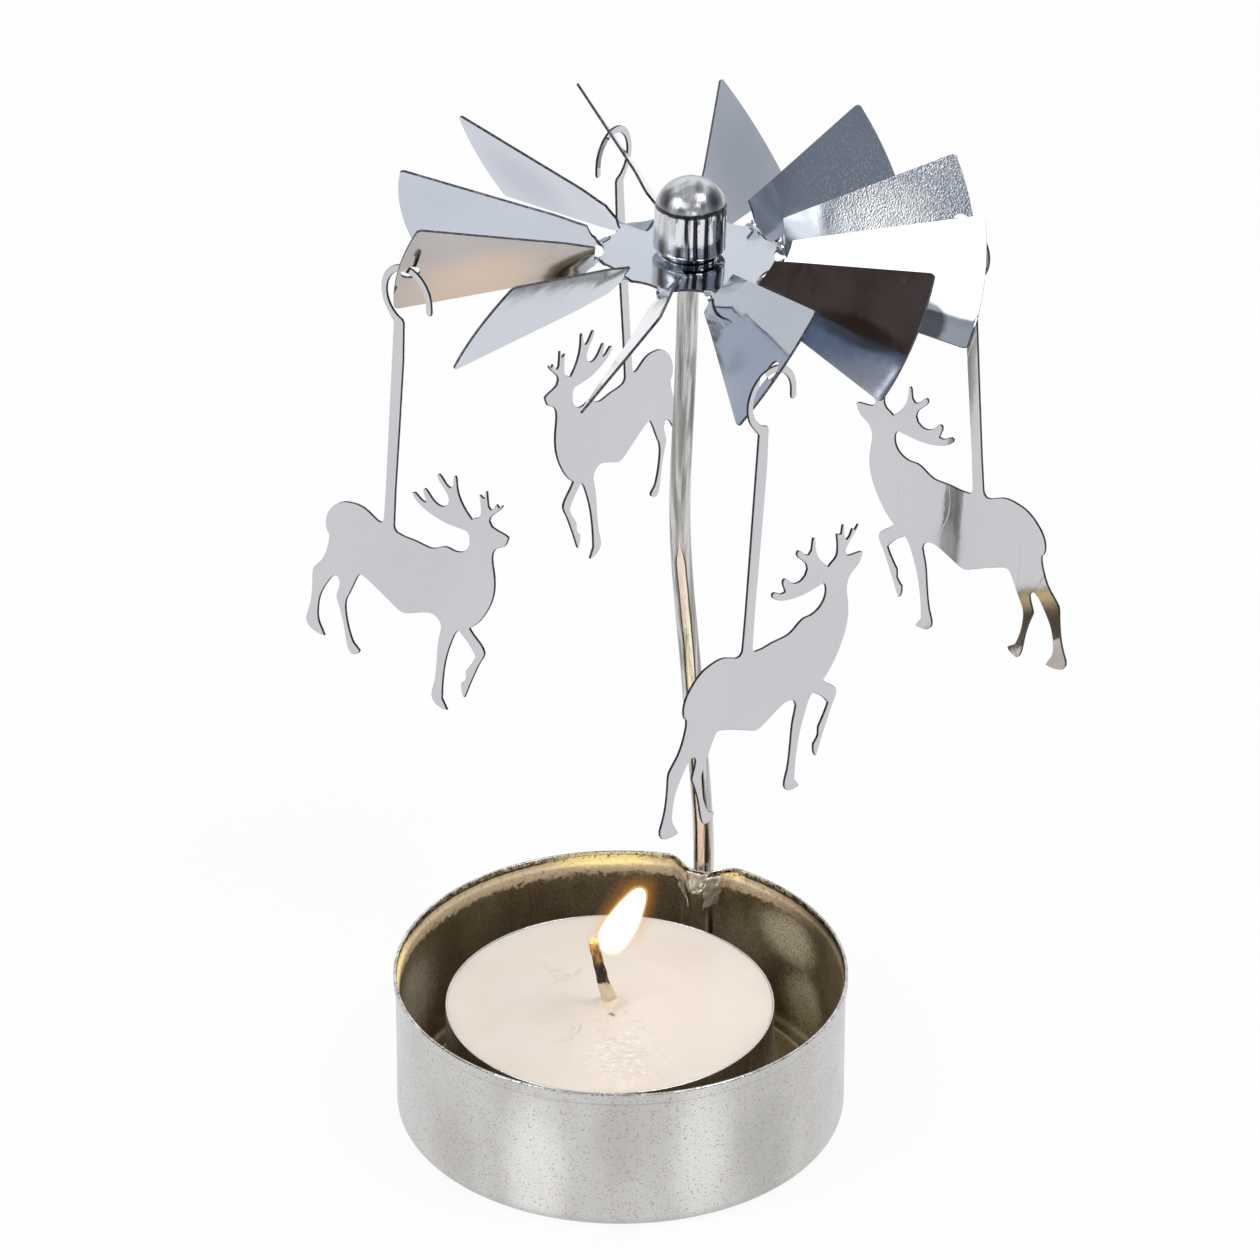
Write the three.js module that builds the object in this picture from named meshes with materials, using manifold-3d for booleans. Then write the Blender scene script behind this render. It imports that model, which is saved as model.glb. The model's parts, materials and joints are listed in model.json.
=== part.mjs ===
// Rotating candle holder: a tealight cup with a needle-pointed post that carries a fan wheel
// and four hanging reindeer. Millimetres, +Z up, origin at the centre of the cup's underside.
import * as THREE from 'three';
import { mergeVertices } from 'three/addons/utils/BufferGeometryUtils.js';
import Module from 'manifold-3d';

const wasm = await Module();
wasm.setup();

// Fits
const restGap = 0.3; // between a piece and what it rests on or passes through

// Base cup, pressed from tinplate
const cupHeight = 18.15;
const cupSheet = 0.4;
const cupCornerRadius = 1.4;
const rimLip = 0.28; // how far the rim stands out
const rimLipHeight = 1.1;
const rimStepHeight = 0.5;
const rimEdgeRadius = 0.15;

// Groove in the cup's wall that holds the post
const grooveAngle = 67.3; // degrees from +X
const grooveDepth = 2.55;
const grooveFlat = 0.55; // half width of its flat bottom
const grooveSlope = 0.8; // extra half width of its sides beyond the wire
const grooveRimHalfWidth = 4.6;
const grooveFlareHeight = 5.5; // how far below the rim it starts to widen
const grooveEndHeight = 3.2; // where it reaches full depth above the underside

// Post, round wire
const wireRadius = 1.2;
const postLeanHeight = 4; // stays upright this far above the rim
const postKinkHeight = 65;
const postKinkOffset = -2.05; // along X, off the straight line from cup to wheel
const needleLength = 5;
const needlePointRadius = 0.08;

// Fan wheel, stamped from thin sheet
const wheelRight = 7.4; // middle of the hub plate along X
const wheelBack = 17.3; // and along Y
const wheelHeight = 100.7;
const wheelLean = 2.1; // degrees, as it balances on the point
const wheelLeanTowards = 30; // degrees from +X
const wheelRadius = 33.2;
const wheelSheet = 0.3;
const bladeCount = 12;
const firstBladeAngle = -75.2; // degrees from +X
const bladePitch = 56.5; // degrees out of the hub plate's plane
const bladeUpperAngle = 15.65; // degrees from the blade's middle line to its upper edge
const bladeLowerAngle = 10.55; // degrees to its lower edge
const bladeCornerRadius = 0.6;
const hubWaistRadius = 9.45; // hub plate between two necks
const neckStart = 9.8;
const neckLength = 1.2;
const neckHalfWidth = 1;
const neckSheet = 0.26;
const bladeRootLength = 0.7;
const bladeTwistLength = 5; // the last of the twist runs out over this length of blade
const bladeTwistLeft = 9; // degrees of twist still to come at the blade's root

// Hook holes, in every third blade
const pendantEvery = 3;
const hookHoleRadius = 1.1;
const hookHoleFromTip = 1.45;
const hookHoleRise = 1; // from the blade's middle line towards its upper edge

// Hub cap, drawn like a bullet
const capRadius = 4.07;
const capSheet = 0.3;
const capFootHeight = 0.85; // above the middle of the hub plate
const capBarrelHeight = 4.3; // from its foot to the dome
const capFoot = 0.35; // how far the barrel's lower edge is rounded in
const capNeckRadius = 3.2;
const capFlangeRadius = 4.1;

// Pendants, cut from flat sheet: hook, shank and reindeer in one piece
const pendantSheet = 0.3;
const pendantTurns = [31.3, 32.5, 43.7, 32.8]; // degrees off the blade's own direction, front to left
const pendantShifts = [0.2, 0, 0, -0.2]; // each hangs this far towards its nose
const pendantNames = ['reindeer_front', 'reindeer_right', 'reindeer_back', 'reindeer_left'];
const hookRadius = 3.4; // middle of the strip
const hookStrip = 0.8;
const hookSide = -0.4; // hook's centre from the hole, towards the free end
const hookTail = 1.2; // straight end below the hook's centre
const hookEndAngle = 223; // degrees, where the hook turns into the shank
const shankWidth = 1.5;
const shankDrop = 1.3; // its top corner below the end of the hook
const shankStep = 0.5; // its left edge from the middle of the strip there
const shankFootRight = [-2.95, -32.65];

// Tealight
const tealightRadius = 18.95;
const tealightRoom = 6.95; // to the cup's wall, when it stands in the middle
const tealightOffset = -1.25; // along X from the cup's centre
const tealightHeight = 13.2;
const tealightSheet = 0.25;
const tealightCorner = 0.8;
const waxBelowEdge = 0.25;
const waxRimWidth = 1.1; // the wax sinks a little inside this ring
const waxSink = 0.12;
const wickRadius = 0.62;
const wickRise = 8.7; // tip above the wax
const wickLean = -2; // tip along X from its foot
const wickKinkRise = 2.4;
const wickKinkLean = -0.6;
const holderRadius = 6.2;
const holderSheet = 0.3;
const holderNeckHeight = 5;
const holderNeckWall = 0.25;

// Fineness
const cupSegments = 64;
const roundSegments = 48;
const wireSides = 14;
const postSteps = 22;
const wickSides = 10;
const wickSteps = 16;
const outlineFineness = 1.1; // outline steps per point of the reindeer
const holeSegments = 16;

const degrees = THREE.MathUtils.degToRad;
const clamp01 = (value) => THREE.MathUtils.clamp(value, 0, 1);
const ease = (value) => THREE.MathUtils.smoothstep(value, 0, 1);
const vec2 = (x, y) => new THREE.Vector2(x, y);
const vec3 = (x, y, z) => new THREE.Vector3(x, y, z);

// Values worked out from the sizes above
const cupRadius = tealightRadius + tealightRoom;
const grooveHalfWidth = wireRadius + restGap + grooveSlope;
const postSeatRadius = cupRadius + rimLip - grooveDepth + restGap + wireRadius;
const postBottom = grooveEndHeight + restGap;
const capDomeBase = capFootHeight + capBarrelHeight;
const pivotHeight = capDomeBase + capRadius - capSheet - restGap; // above the hub plate
const wheelCentre = vec3(wheelRight, wheelBack, wheelHeight);
const wheelAxis = vec3(Math.sin(degrees(wheelLean)), 0, Math.cos(degrees(wheelLean)));
wheelAxis.applyAxisAngle(vec3(0, 0, 1), degrees(wheelLeanTowards));
const pivotPoint = wheelCentre.clone().addScaledVector(wheelAxis, pivotHeight);
const hubHoleRadius = capNeckRadius + restGap;
const bladeRoot = neckStart + neckLength;
const hookHoleRadial = wheelRadius - hookHoleFromTip;
const holeSlope = Math.atan(Math.tan(degrees(bladePitch)) * Math.cos(degrees(pendantTurns[0])));
const holeFall = hookHoleRadius * Math.sin(holeSlope); // lowest point of the hole that a hook can reach
const hookCentreDrop = hookRadius - hookStrip / 2 + holeFall - (wheelSheet + pendantSheet) / 2 - restGap;
const tealightFloor = cupSheet;
const waxRadius = tealightRadius - tealightSheet - restGap;
const waxFloor = tealightFloor + tealightSheet;
const waxTop = tealightFloor + tealightHeight - waxBelowEdge;
const wickFoot = waxFloor + holderSheet + restGap;
const wickHole = wickRadius + restGap;

const steel = (color, roughness) => new THREE.MeshStandardMaterial({ color, roughness, metalness: 1 });

// Closed body turned about Z. The profile starts and ends on the axis, or closes on itself.
function turned(profile, segments) {
  const points = profile.map(([radius, height]) => vec2(radius, height));
  const geometry = new THREE.LatheGeometry(points, segments);
  geometry.rotateX(Math.PI / 2);
  return welded(geometry);
}

function welded(geometry) {
  geometry.deleteAttribute('normal');
  geometry.deleteAttribute('uv');
  return mergeVertices(geometry, 1e-4);
}

function bodyFromFaces(points, faces) {
  const geometry = new THREE.BufferGeometry();
  const positions = points.flatMap((point) => [point.x, point.y, point.z]);
  geometry.setAttribute('position', new THREE.Float32BufferAttribute(positions, 3));
  geometry.setIndex(faces);
  return geometry;
}

function toSolid(geometry) {
  const merged = welded(geometry.clone());
  const vertProperties = new Float32Array(merged.attributes.position.array);
  const triVerts = new Uint32Array(merged.index.array);
  return new wasm.Manifold(new wasm.Mesh({ numProp: 3, vertProperties, triVerts }));
}

function fromSolid(solid) {
  const mesh = solid.getMesh();
  const geometry = new THREE.BufferGeometry();
  geometry.setAttribute('position', new THREE.Float32BufferAttribute(mesh.vertProperties, 3));
  geometry.setIndex([...mesh.triVerts]);
  return geometry;
}

// Points of an arc in a profile or outline, from one angle to another in degrees
function arcPoints(centre, radius, from, to, steps) {
  return Array.from({ length: steps + 1 }, (_, step) => {
    const angle = degrees(from + ((to - from) * step) / steps);
    return [centre[0] + radius * Math.cos(angle), centre[1] + radius * Math.sin(angle)];
  });
}

// Round wire along a curve
function roundRod(curve, radius, steps, sides) {
  const section = new THREE.Shape();
  section.absarc(0, 0, radius, 0, 2 * Math.PI);
  const settings = { steps, extrudePath: curve, bevelEnabled: false, curveSegments: sides / 2 };
  return new THREE.ExtrudeGeometry(section, settings);
}

// How deep the groove is pressed at a height and at a distance round the wall from its middle
function grooveAt(along, height) {
  const flare = ease(clamp01(1 - (cupHeight - height) / grooveFlareHeight));
  const halfWidth = THREE.MathUtils.lerp(grooveHalfWidth, grooveRimHalfWidth, flare);
  const across = clamp01((halfWidth - Math.abs(along)) / (halfWidth - grooveFlat));
  const below = clamp01((height - cupCornerRadius) / (grooveEndHeight - cupCornerRadius));
  return grooveDepth * ease(across) * ease(below);
}

function baseCup() {
  const lipOuter = cupRadius + rimLip;
  const inner = cupRadius - cupSheet;
  const stepTop = cupHeight - rimLipHeight;
  const stepFoot = stepTop - rimStepHeight;
  const edge = cupHeight - rimEdgeRadius;
  const flareFoot = cupHeight - grooveFlareHeight;
  const flareRows = [0, 0.35, 0.7].map((part) => THREE.MathUtils.lerp(flareFoot, stepFoot, part));
  const wallRows = [(cupCornerRadius + grooveEndHeight) / 2, grooveEndHeight, ...flareRows];
  const innerCorner = cupCornerRadius - cupSheet;
  const profile = [
    [0, 0],
    ...arcPoints([cupRadius - cupCornerRadius, cupCornerRadius], cupCornerRadius, -90, 0, 3),
    ...wallRows.map((height) => [cupRadius, height]),
    [cupRadius, stepFoot],
    [lipOuter, stepTop],
    [lipOuter, edge],
    [lipOuter - cupSheet / 2, cupHeight],
    [lipOuter - cupSheet, edge],
    [lipOuter - cupSheet, stepTop],
    [inner, stepFoot],
    ...wallRows.toReversed().map((height) => [inner, height]),
    ...arcPoints([inner - innerCorner, cupSheet + innerCorner], innerCorner, 0, -90, 2),
    [0, cupSheet],
  ];
  const geometry = turned(profile, cupSegments);
  const position = geometry.attributes.position;
  const crowding = 0.78; // draws the segments together at the groove
  for (let index = 0; index < position.count; index += 1) {
    const x = position.getX(index);
    const y = position.getY(index);
    const height = position.getZ(index);
    const turn = Math.atan2(y, x);
    const offset = turn - crowding * Math.sin(turn);
    const radius = Math.hypot(x, y);
    const onWall = radius > inner - cupSheet;
    const pressed = onWall ? radius - grooveAt(offset * cupRadius, height) : radius;
    const angle = offset + degrees(grooveAngle);
    position.setXYZ(index, pressed * Math.cos(angle), pressed * Math.sin(angle), height);
  }
  return geometry;
}

function post() {
  const seat = vec3(
    postSeatRadius * Math.cos(degrees(grooveAngle)),
    postSeatRadius * Math.sin(degrees(grooveAngle)),
    postBottom,
  );
  const leanStart = seat.clone().setZ(cupHeight + postLeanHeight);
  const kinkPart = (postKinkHeight - leanStart.z) / (pivotPoint.z - leanStart.z);
  const kink = leanStart.clone().lerp(pivotPoint, kinkPart);
  kink.x += postKinkOffset;
  const upward = pivotPoint.clone().sub(kink).normalize();
  const needleFoot = pivotPoint.clone().addScaledVector(upward, -needleLength);
  const route = new THREE.CatmullRomCurve3([
    seat,
    seat.clone().lerp(leanStart, 0.5),
    leanStart,
    leanStart.clone().lerp(kink, 0.5),
    kink,
    kink.clone().lerp(needleFoot, 0.5),
    needleFoot,
  ], false, 'centripetal');
  const overlap = wireRadius / 4; // of the ground point with the wire
  const pointLength = needleLength + overlap;
  const point = new THREE.CylinderGeometry(needlePointRadius, 0.96 * wireRadius, pointLength, wireSides);
  point.translate(0, needleLength - pointLength / 2, 0);
  point.applyQuaternion(new THREE.Quaternion().setFromUnitVectors(vec3(0, 1, 0), upward));
  point.translate(needleFoot.x, needleFoot.y, needleFoot.z);
  const wire = roundRod(route, wireRadius, postSteps, wireSides);
  return fromSolid(toSolid(wire).add(toSolid(point)));
}

// Hub plate: twelve short necks with curved waists between them
function hubPlate() {
  const shape = new THREE.Shape();
  for (let blade = 0; blade < bladeCount; blade += 1) {
    const middle = degrees(firstBladeAngle + (360 * blade) / bladeCount);
    const half = neckHalfWidth / neckStart;
    const waist = middle + Math.PI / bladeCount;
    const corner = (angle) => [neckStart * Math.cos(angle), neckStart * Math.sin(angle)];
    const next = middle + (2 * Math.PI) / bladeCount;
    if (blade === 0) shape.moveTo(...corner(middle - half));
    shape.lineTo(...corner(middle + half));
    const pull = 2 * hubWaistRadius - neckStart; // curve's handle, so that its middle lies on the waist
    shape.quadraticCurveTo(pull * Math.cos(waist), pull * Math.sin(waist), ...corner(next - half));
  }
  const hole = new THREE.Path();
  hole.absarc(0, 0, hubHoleRadius, 0, 2 * Math.PI, true);
  shape.holes.push(hole);
  const geometry = new THREE.ExtrudeGeometry(shape, { depth: wheelSheet, bevelEnabled: false, curveSegments: 10 });
  geometry.translate(0, 0, -wheelSheet / 2);
  return geometry;
}

// Twist of the sheet out of the hub's plane, at a distance from the axis
function twistAt(radial) {
  const first = ease(clamp01((radial - neckStart) / neckLength)) * (bladePitch - bladeTwistLeft);
  const rest = ease(clamp01((radial - bladeRoot) / bladeTwistLength)) * bladeTwistLeft;
  return degrees(first + rest);
}

// Half widths of neck and blade below and above the middle line, as angles in the sheet's plane
function bladeEdgesAt(radial) {
  const rootPart = clamp01((radial - bladeRoot) / bladeRootLength);
  const intoCorner = Math.max(0, radial - (wheelRadius - bladeCornerRadius));
  const rounding = bladeCornerRadius - Math.sqrt(Math.max(0, bladeCornerRadius ** 2 - intoCorner ** 2));
  const edge = (angle) => {
    const neck = neckHalfWidth / radial;
    return THREE.MathUtils.lerp(neck, degrees(angle), rootPart) - rounding / radial;
  };
  return [-edge(bladeLowerAngle), edge(bladeUpperAngle)];
}

// One blade with its neck, as a closed sheet along +X before it is turned to its place
function fanBlade() {
  const bladeStart = bladeRoot + bladeRootLength;
  const twistRows = [0.3, 0.65, 1].map((part) => bladeStart + part * bladeTwistLength);
  const neckRows = [0, 0.3, 0.5, 0.7, 1].map((part) => neckStart + part * neckLength);
  const cornerRows = [0, 0.5, 0.85, 1].map((part) => wheelRadius - bladeCornerRadius * (1 - part));
  const rows = [neckStart - neckLength / 2, ...neckRows, bladeStart, ...twistRows, ...cornerRows];
  const columns = 5;
  const points = [];
  for (const radial of rows) {
    const twist = twistAt(radial);
    const [lower, upper] = bladeEdgesAt(radial);
    const sheet = radial < bladeStart ? neckSheet : wheelSheet;
    const up = vec3(0, -Math.sin(twist), Math.cos(twist));
    for (const side of [1, -1]) {
      for (let column = 0; column < columns; column += 1) {
        const angle = THREE.MathUtils.lerp(lower, upper, column / (columns - 1));
        const along = radial * Math.cos(angle);
        const across = radial * Math.sin(angle);
        const point = vec3(along, across * Math.cos(twist), across * Math.sin(twist));
        points.push(point.addScaledVector(up, (side * sheet) / 2));
      }
    }
  }
  const at = (row, side, column) => (row * 2 + side) * columns + column;
  const faces = [];
  const quad = (a, b, c, d) => faces.push(a, b, c, a, c, d);
  const lastRow = rows.length - 1;
  const lastColumn = columns - 1;
  for (let row = 0; row < lastRow; row += 1) {
    for (let column = 0; column < lastColumn; column += 1) {
      const next = column + 1;
      quad(at(row, 0, column), at(row + 1, 0, column), at(row + 1, 0, next), at(row, 0, next));
      quad(at(row, 1, next), at(row + 1, 1, next), at(row + 1, 1, column), at(row, 1, column));
    }
    quad(at(row, 1, 0), at(row + 1, 1, 0), at(row + 1, 0, 0), at(row, 0, 0));
    quad(at(row, 0, lastColumn), at(row + 1, 0, lastColumn), at(row + 1, 1, lastColumn), at(row, 1, lastColumn));
  }
  for (let column = 0; column < lastColumn; column += 1) {
    const next = column + 1;
    quad(at(0, 1, next), at(0, 1, column), at(0, 0, column), at(0, 0, next));
    quad(at(lastRow, 1, column), at(lastRow, 1, next), at(lastRow, 0, next), at(lastRow, 0, column));
  }
  return bodyFromFaces(points, faces);
}

const bladeTurn = (blade) => degrees(firstBladeAngle + (360 * blade) / bladeCount);
const holeSpot = vec3(
  hookHoleRadial,
  hookHoleRise * Math.cos(degrees(bladePitch)),
  hookHoleRise * Math.sin(degrees(bladePitch)),
);

function fanWheel() {
  let wheel = toSolid(hubPlate());
  for (let blade = 0; blade < bladeCount; blade += 1) {
    wheel = wheel.add(toSolid(fanBlade().rotateZ(bladeTurn(blade))));
  }
  const drill = new THREE.CylinderGeometry(hookHoleRadius, hookHoleRadius, wheelSheet * 6, holeSegments);
  drill.rotateX(Math.PI / 2 + degrees(bladePitch)).translate(holeSpot.x, holeSpot.y, holeSpot.z);
  for (let blade = 0; blade < bladeCount; blade += pendantEvery) {
    wheel = wheel.subtract(toSolid(drill.clone().rotateZ(bladeTurn(blade))));
  }
  return fromSolid(wheel);
}

// Cap about its own axis, with the middle of the hub plate at height 0
function hubCap() {
  const flangeTop = -wheelSheet / 2 - restGap;
  const neckInner = capNeckRadius - capSheet;
  const outside = [
    ...arcPoints([0, capDomeBase], capRadius, 90, 0, 7),
    [capRadius, capFootHeight + capFoot],
    [capRadius - capFoot, capFootHeight],
    [capNeckRadius, capFootHeight],
    [capNeckRadius, flangeTop],
    [capFlangeRadius, flangeTop],
    [capFlangeRadius, flangeTop - capSheet],
  ];
  const inside = [
    [neckInner, flangeTop - capSheet],
    [neckInner, capFootHeight + capSheet],
    [capRadius - capSheet, capFootHeight + capFoot + capSheet],
    ...arcPoints([0, capDomeBase], capRadius - capSheet, 0, 90, 6),
  ];
  outside[0][0] = 0;
  inside.at(-1)[0] = 0;
  return turned([...outside, ...inside].toReversed(), roundSegments / 2);
}

// Reindeer's outline from the shank's right foot round to its left foot, seen with the nose to
// the right. Each list is one smooth stretch, and the figure has a corner where two lists meet.
// Distances are from the hook hole.
const reindeerStretches = [
  [[-2.75, -33.2], [-2.1, -33.35]], // foot of the shank
  [[-1, -33.4], [0.8, -33.3], [2.2, -33.4], [3.3, -33.2], [4.3, -32.65], [5.3, -32.3], [6.5, -32.35],
    [7.5, -32.1], [8.35, -31.5], [8.75, -30.65], [8.75, -29.75], [8.4, -29.15]], // back and neck
  [[6.5, -29.25], [4.9, -29.3], [3.1, -29.05], [1.5, -28.6], [0.4, -27.95], [0, -27.45], [0.3, -27.15],
    [0.8, -27.35], [1.45, -27.75], [2.2, -27.8]], // rear antler from below
  [[2, -27.25], [1.75, -26.6], [1.8, -26.25], [2.05, -26.1], [2.4, -26.3], [3, -26.9], [3.75, -27.35],
    [4.65, -27.4], [5.4, -27], [5.7, -26.3], [5.4, -25.5], [4.7, -24.8], [4.1, -24.2], [3.95, -23.8],
    [4.1, -23.5], [4.4, -23.55], [4.8, -23.9], [5.3, -24.4], [5.9, -24.65], [6.35, -24.2], [6.45, -23.4],
    [6.55, -22.95], [6.75, -22.85], [6.9, -23.1], [6.95, -23.8], [7.1, -24.75], [7.55, -25.7], [8.2, -26.55],
    [9.15, -27.4]], // rear antler from above
  [[9.7, -27.05], [10.3, -26.7], [10.55, -26.15], [10.55, -25.2], [10.45, -24.2], [10.35, -23.95],
    [10.5, -23.85], [10.75, -24], [11.15, -24.1], [11.25, -23.5], [11.35, -23.1], [11.5, -23.1],
    [11.6, -23.35], [11.65, -24.5], [11.9, -25.15], [12.4, -25], [12.75, -24.45], [12.95, -24.15],
    [13.15, -24.25], [13.35, -24.45], [13.6, -24.2], [13.85, -23.95], [13.95, -24.05], [13.5, -24.65],
    [12.8, -25.3], [12.1, -26.05], [11.85, -26.6], [12.2, -27.2]], // front antler
  [[13.2, -27.4], [14.3, -27.5], [14.75, -27.75]], // forehead and nose
  [[14.6, -28.15], [14.3, -28.75], [13.85, -29.2], [13.05, -29.6], [12.5, -30.2], [12.25, -31],
    [12.3, -32], [12.5, -33.2], [12.55, -34.6], [12.3, -36.15], [11.65, -37.7], [10.75, -39.2],
    [9.8, -40.4], [8.6, -41.45]], // throat and chest
  [[9.4, -42.2], [10.3, -42.85], [10.85, -43.55], [10.8, -44.2], [10.15, -45.3], [9.35, -46.95],
    [8.45, -48.95], [7.85, -50.4], [7.65, -50.7], [7.4, -50.5], [7.2, -49.8], [7.2, -49.05]], // raised foreleg
  [[7.6, -48.7], [7.95, -48.2]],
  [[7.95, -47.6], [8, -47.15]],
  [[8.45, -46.5], [9.05, -45.6], [9.5, -44.7]],
  [[8.7, -43.7], [7.8, -42.95], [6.9, -42.35]],
  [[6.25, -43.15], [5.65, -44.55], [5.05, -46.15], [4.6, -48], [4.3, -50], [4.15, -52.25]], // standing foreleg
  [[4.65, -52.95], [4.95, -53.4]],
  [[4.5, -53.5], [3.55, -53.45], [2.95, -53.15], [2.6, -52.7], [2.5, -52.1], [2.95, -50.65], [3.25, -49],
    [3.45, -47.2], [3.6, -45.6], [3.85, -44.25], [4.2, -43.1], [4.05, -42.35], [3.35, -41.85]],
  [[2.15, -41.85], [0.45, -42.5], [-1.2, -43.2], [-2, -43.35], [-2.9, -43.1], [-5.15, -42.05], [-7.85, -41],
    [-8.6, -40.95]], // belly
  [[-9.15, -41.8], [-9.75, -43], [-10.45, -44.4], [-10.9, -45.3], [-10.95, -46.4], [-10.75, -47.9],
    [-10.35, -49.2], [-9.95, -50.15], [-9.4, -50.6], [-8.85, -51]], // nearer hind leg
  [[-9.05, -51.4], [-9.9, -51.85], [-10.35, -51.8], [-10.75, -51.3], [-11.05, -50.15], [-11.25, -48.95],
    [-11.6, -47.55], [-12.05, -46.25], [-12.4, -45.3]],
  [[-12.2, -44.5], [-11.85, -43.5], [-11.9, -42.8], [-12.4, -42.5], [-13.1, -43], [-13.85, -44],
    [-14.55, -45.1], [-15.1, -46.25], [-15.4, -47.55], [-15.5, -48.8], [-15.35, -49.65]],
  [[-14.85, -50.55], [-14.5, -51.15]],
  [[-15.2, -51.25], [-16.55, -51.05], [-17.15, -50.7], [-17.45, -50], [-17.3, -49.4], [-16.9, -48.35],
    [-16.55, -47.05], [-16.3, -45.2], [-16.2, -43.6], [-16, -42.9]], // further hind leg
  [[-15.15, -41.9], [-14.35, -40.9], [-13.8, -39.65], [-13.4, -38.35], [-13.35, -37.45]],
  [[-13.65, -37.1], [-13.8, -36.6], [-13.8, -35.9], [-13.55, -35], [-12.95, -34.1], [-12, -33.15],
    [-10.75, -32.4], [-9.45, -32.1], [-8.2, -32], [-7, -32.25], [-5.85, -32.8], [-5.1, -32.95],
    [-4.65, -32.65], [-4.5, -32]], // tail and rump
];

function pendantOutline() {
  const centre = [hookSide, -hookCentreDrop];
  const tail = [centre[0] + hookRadius, centre[1] - hookTail + hookStrip / 2];
  const [endX, endY] = arcPoints(centre, hookRadius, hookEndAngle, hookEndAngle, 1)[0];
  const shankTop = [endX + shankStep, endY - shankDrop];
  const outline = [
    ...arcPoints(tail, hookStrip / 2, 360, 180, 4),
    ...arcPoints(centre, hookRadius - hookStrip / 2, 0, hookEndAngle, 16),
    [shankTop[0] + shankWidth * 0.35, shankTop[1] + shankDrop * 0.75],
    [shankTop[0] + shankWidth * 0.85, shankTop[1] + shankDrop * 0.5],
    [shankTop[0] + shankWidth, shankTop[1] + shankDrop * 0.15],
    shankFootRight,
  ].map(([x, y]) => vec2(x, y));
  for (const stretch of reindeerStretches) {
    const through = [outline.at(-1), ...stretch.map(([x, y]) => vec2(x, y))];
    const steps = Math.ceil(stretch.length * outlineFineness);
    outline.push(...new THREE.SplineCurve(through).getPoints(steps).slice(1));
  }
  outline.push(vec2(...shankTop));
  const back = arcPoints(centre, hookRadius + hookStrip / 2, hookEndAngle, 0, 20);
  outline.push(...back.map(([x, y]) => vec2(x, y)));
  return new THREE.Shape(outline);
}

function pendantGeometry() {
  const settings = { depth: pendantSheet, bevelEnabled: false };
  return new THREE.ExtrudeGeometry(pendantOutline(), settings).translate(0, 0, -pendantSheet / 2);
}

function tealightCup() {
  const inner = tealightRadius - tealightSheet;
  const innerCorner = tealightCorner - tealightSheet;
  const floor = tealightFloor;
  return turned([
    [0, floor],
    ...arcPoints([tealightRadius - tealightCorner, floor + tealightCorner], tealightCorner, -90, 0, 3),
    [tealightRadius, floor + tealightHeight],
    [inner, floor + tealightHeight],
    ...arcPoints([inner - innerCorner, waxFloor + innerCorner], innerCorner, 0, -90, 2),
    [0, waxFloor],
  ], roundSegments);
}

function candleWax() {
  const corner = tealightCorner;
  const recess = holderRadius + restGap;
  const neckRecess = wickHole + holderNeckWall + restGap;
  const plateTop = waxFloor + holderSheet + restGap;
  const neckTop = waxFloor + holderNeckHeight + restGap;
  return turned([
    [wickHole, waxTop - waxSink],
    [wickHole, neckTop],
    [neckRecess, neckTop],
    [neckRecess, plateTop],
    [recess, plateTop],
    [recess, waxFloor],
    [waxRadius - corner, waxFloor],
    [waxRadius, waxFloor + corner],
    [waxRadius, waxTop],
    [waxRadius - waxRimWidth, waxTop - waxSink],
    [wickHole, waxTop - waxSink],
  ], roundSegments);
}

function wickHolder() {
  const neckOuter = wickHole + holderNeckWall;
  const top = waxFloor + holderNeckHeight;
  return turned([
    [0, waxFloor],
    [holderRadius, waxFloor],
    [holderRadius, waxFloor + holderSheet],
    [neckOuter, waxFloor + holderSheet],
    [neckOuter, top],
    [wickHole, top],
    [wickHole, waxFloor + holderSheet],
    [0, waxFloor + holderSheet],
  ], roundSegments / 2);
}

function candleWick() {
  const route = new THREE.CatmullRomCurve3([
    vec3(0, 0, wickFoot),
    vec3(0, 0, THREE.MathUtils.lerp(wickFoot, waxTop, 0.5)),
    vec3(0, 0, waxTop + wickRadius / 2),
    vec3(wickKinkLean, 0, waxTop + wickKinkRise),
    vec3((wickKinkLean + wickLean) / 2, 0, waxTop + (wickKinkRise + wickRise) / 2),
    vec3(wickLean, 0, waxTop + wickRise),
  ], false, 'centripetal');
  return roundRod(route, wickRadius, wickSteps, wickSides);
}

function named(name, geometry, material) {
  const mesh = new THREE.Mesh(geometry, material);
  mesh.name = name;
  return mesh;
}

const holder = new THREE.Group();
holder.add(named('base_cup', baseCup(), steel(0xc9cbcc, 0.35)));
holder.add(named('post', post(), steel(0xb9b6b0, 0.25)));

const tealight = new THREE.Group();
tealight.position.x = tealightOffset;
const wax = new THREE.MeshStandardMaterial({ color: 0xf1e6da, roughness: 0.45, metalness: 0 });
const burnt = new THREE.MeshStandardMaterial({ color: 0x1d130d, roughness: 0.9, metalness: 0 });
tealight.add(named('tealight_cup', tealightCup(), steel(0xd6d7d8, 0.3)));
tealight.add(named('candle_wax', candleWax(), wax));
tealight.add(named('wick_holder', wickHolder(), steel(0xb8b8b8, 0.4)));
tealight.add(named('candle_wick', candleWick(), burnt));
holder.add(tealight);

const wheel = new THREE.Group();
wheel.position.copy(wheelCentre);
wheel.quaternion.setFromUnitVectors(vec3(0, 0, 1), wheelAxis);
wheel.add(named('fan_wheel', fanWheel(), steel(0xb7bcc6, 0.12)));
wheel.add(named('hub_cap', hubCap(), steel(0xc4c5c8, 0.08)));
holder.add(wheel);
wheel.updateMatrixWorld(true);

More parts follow.
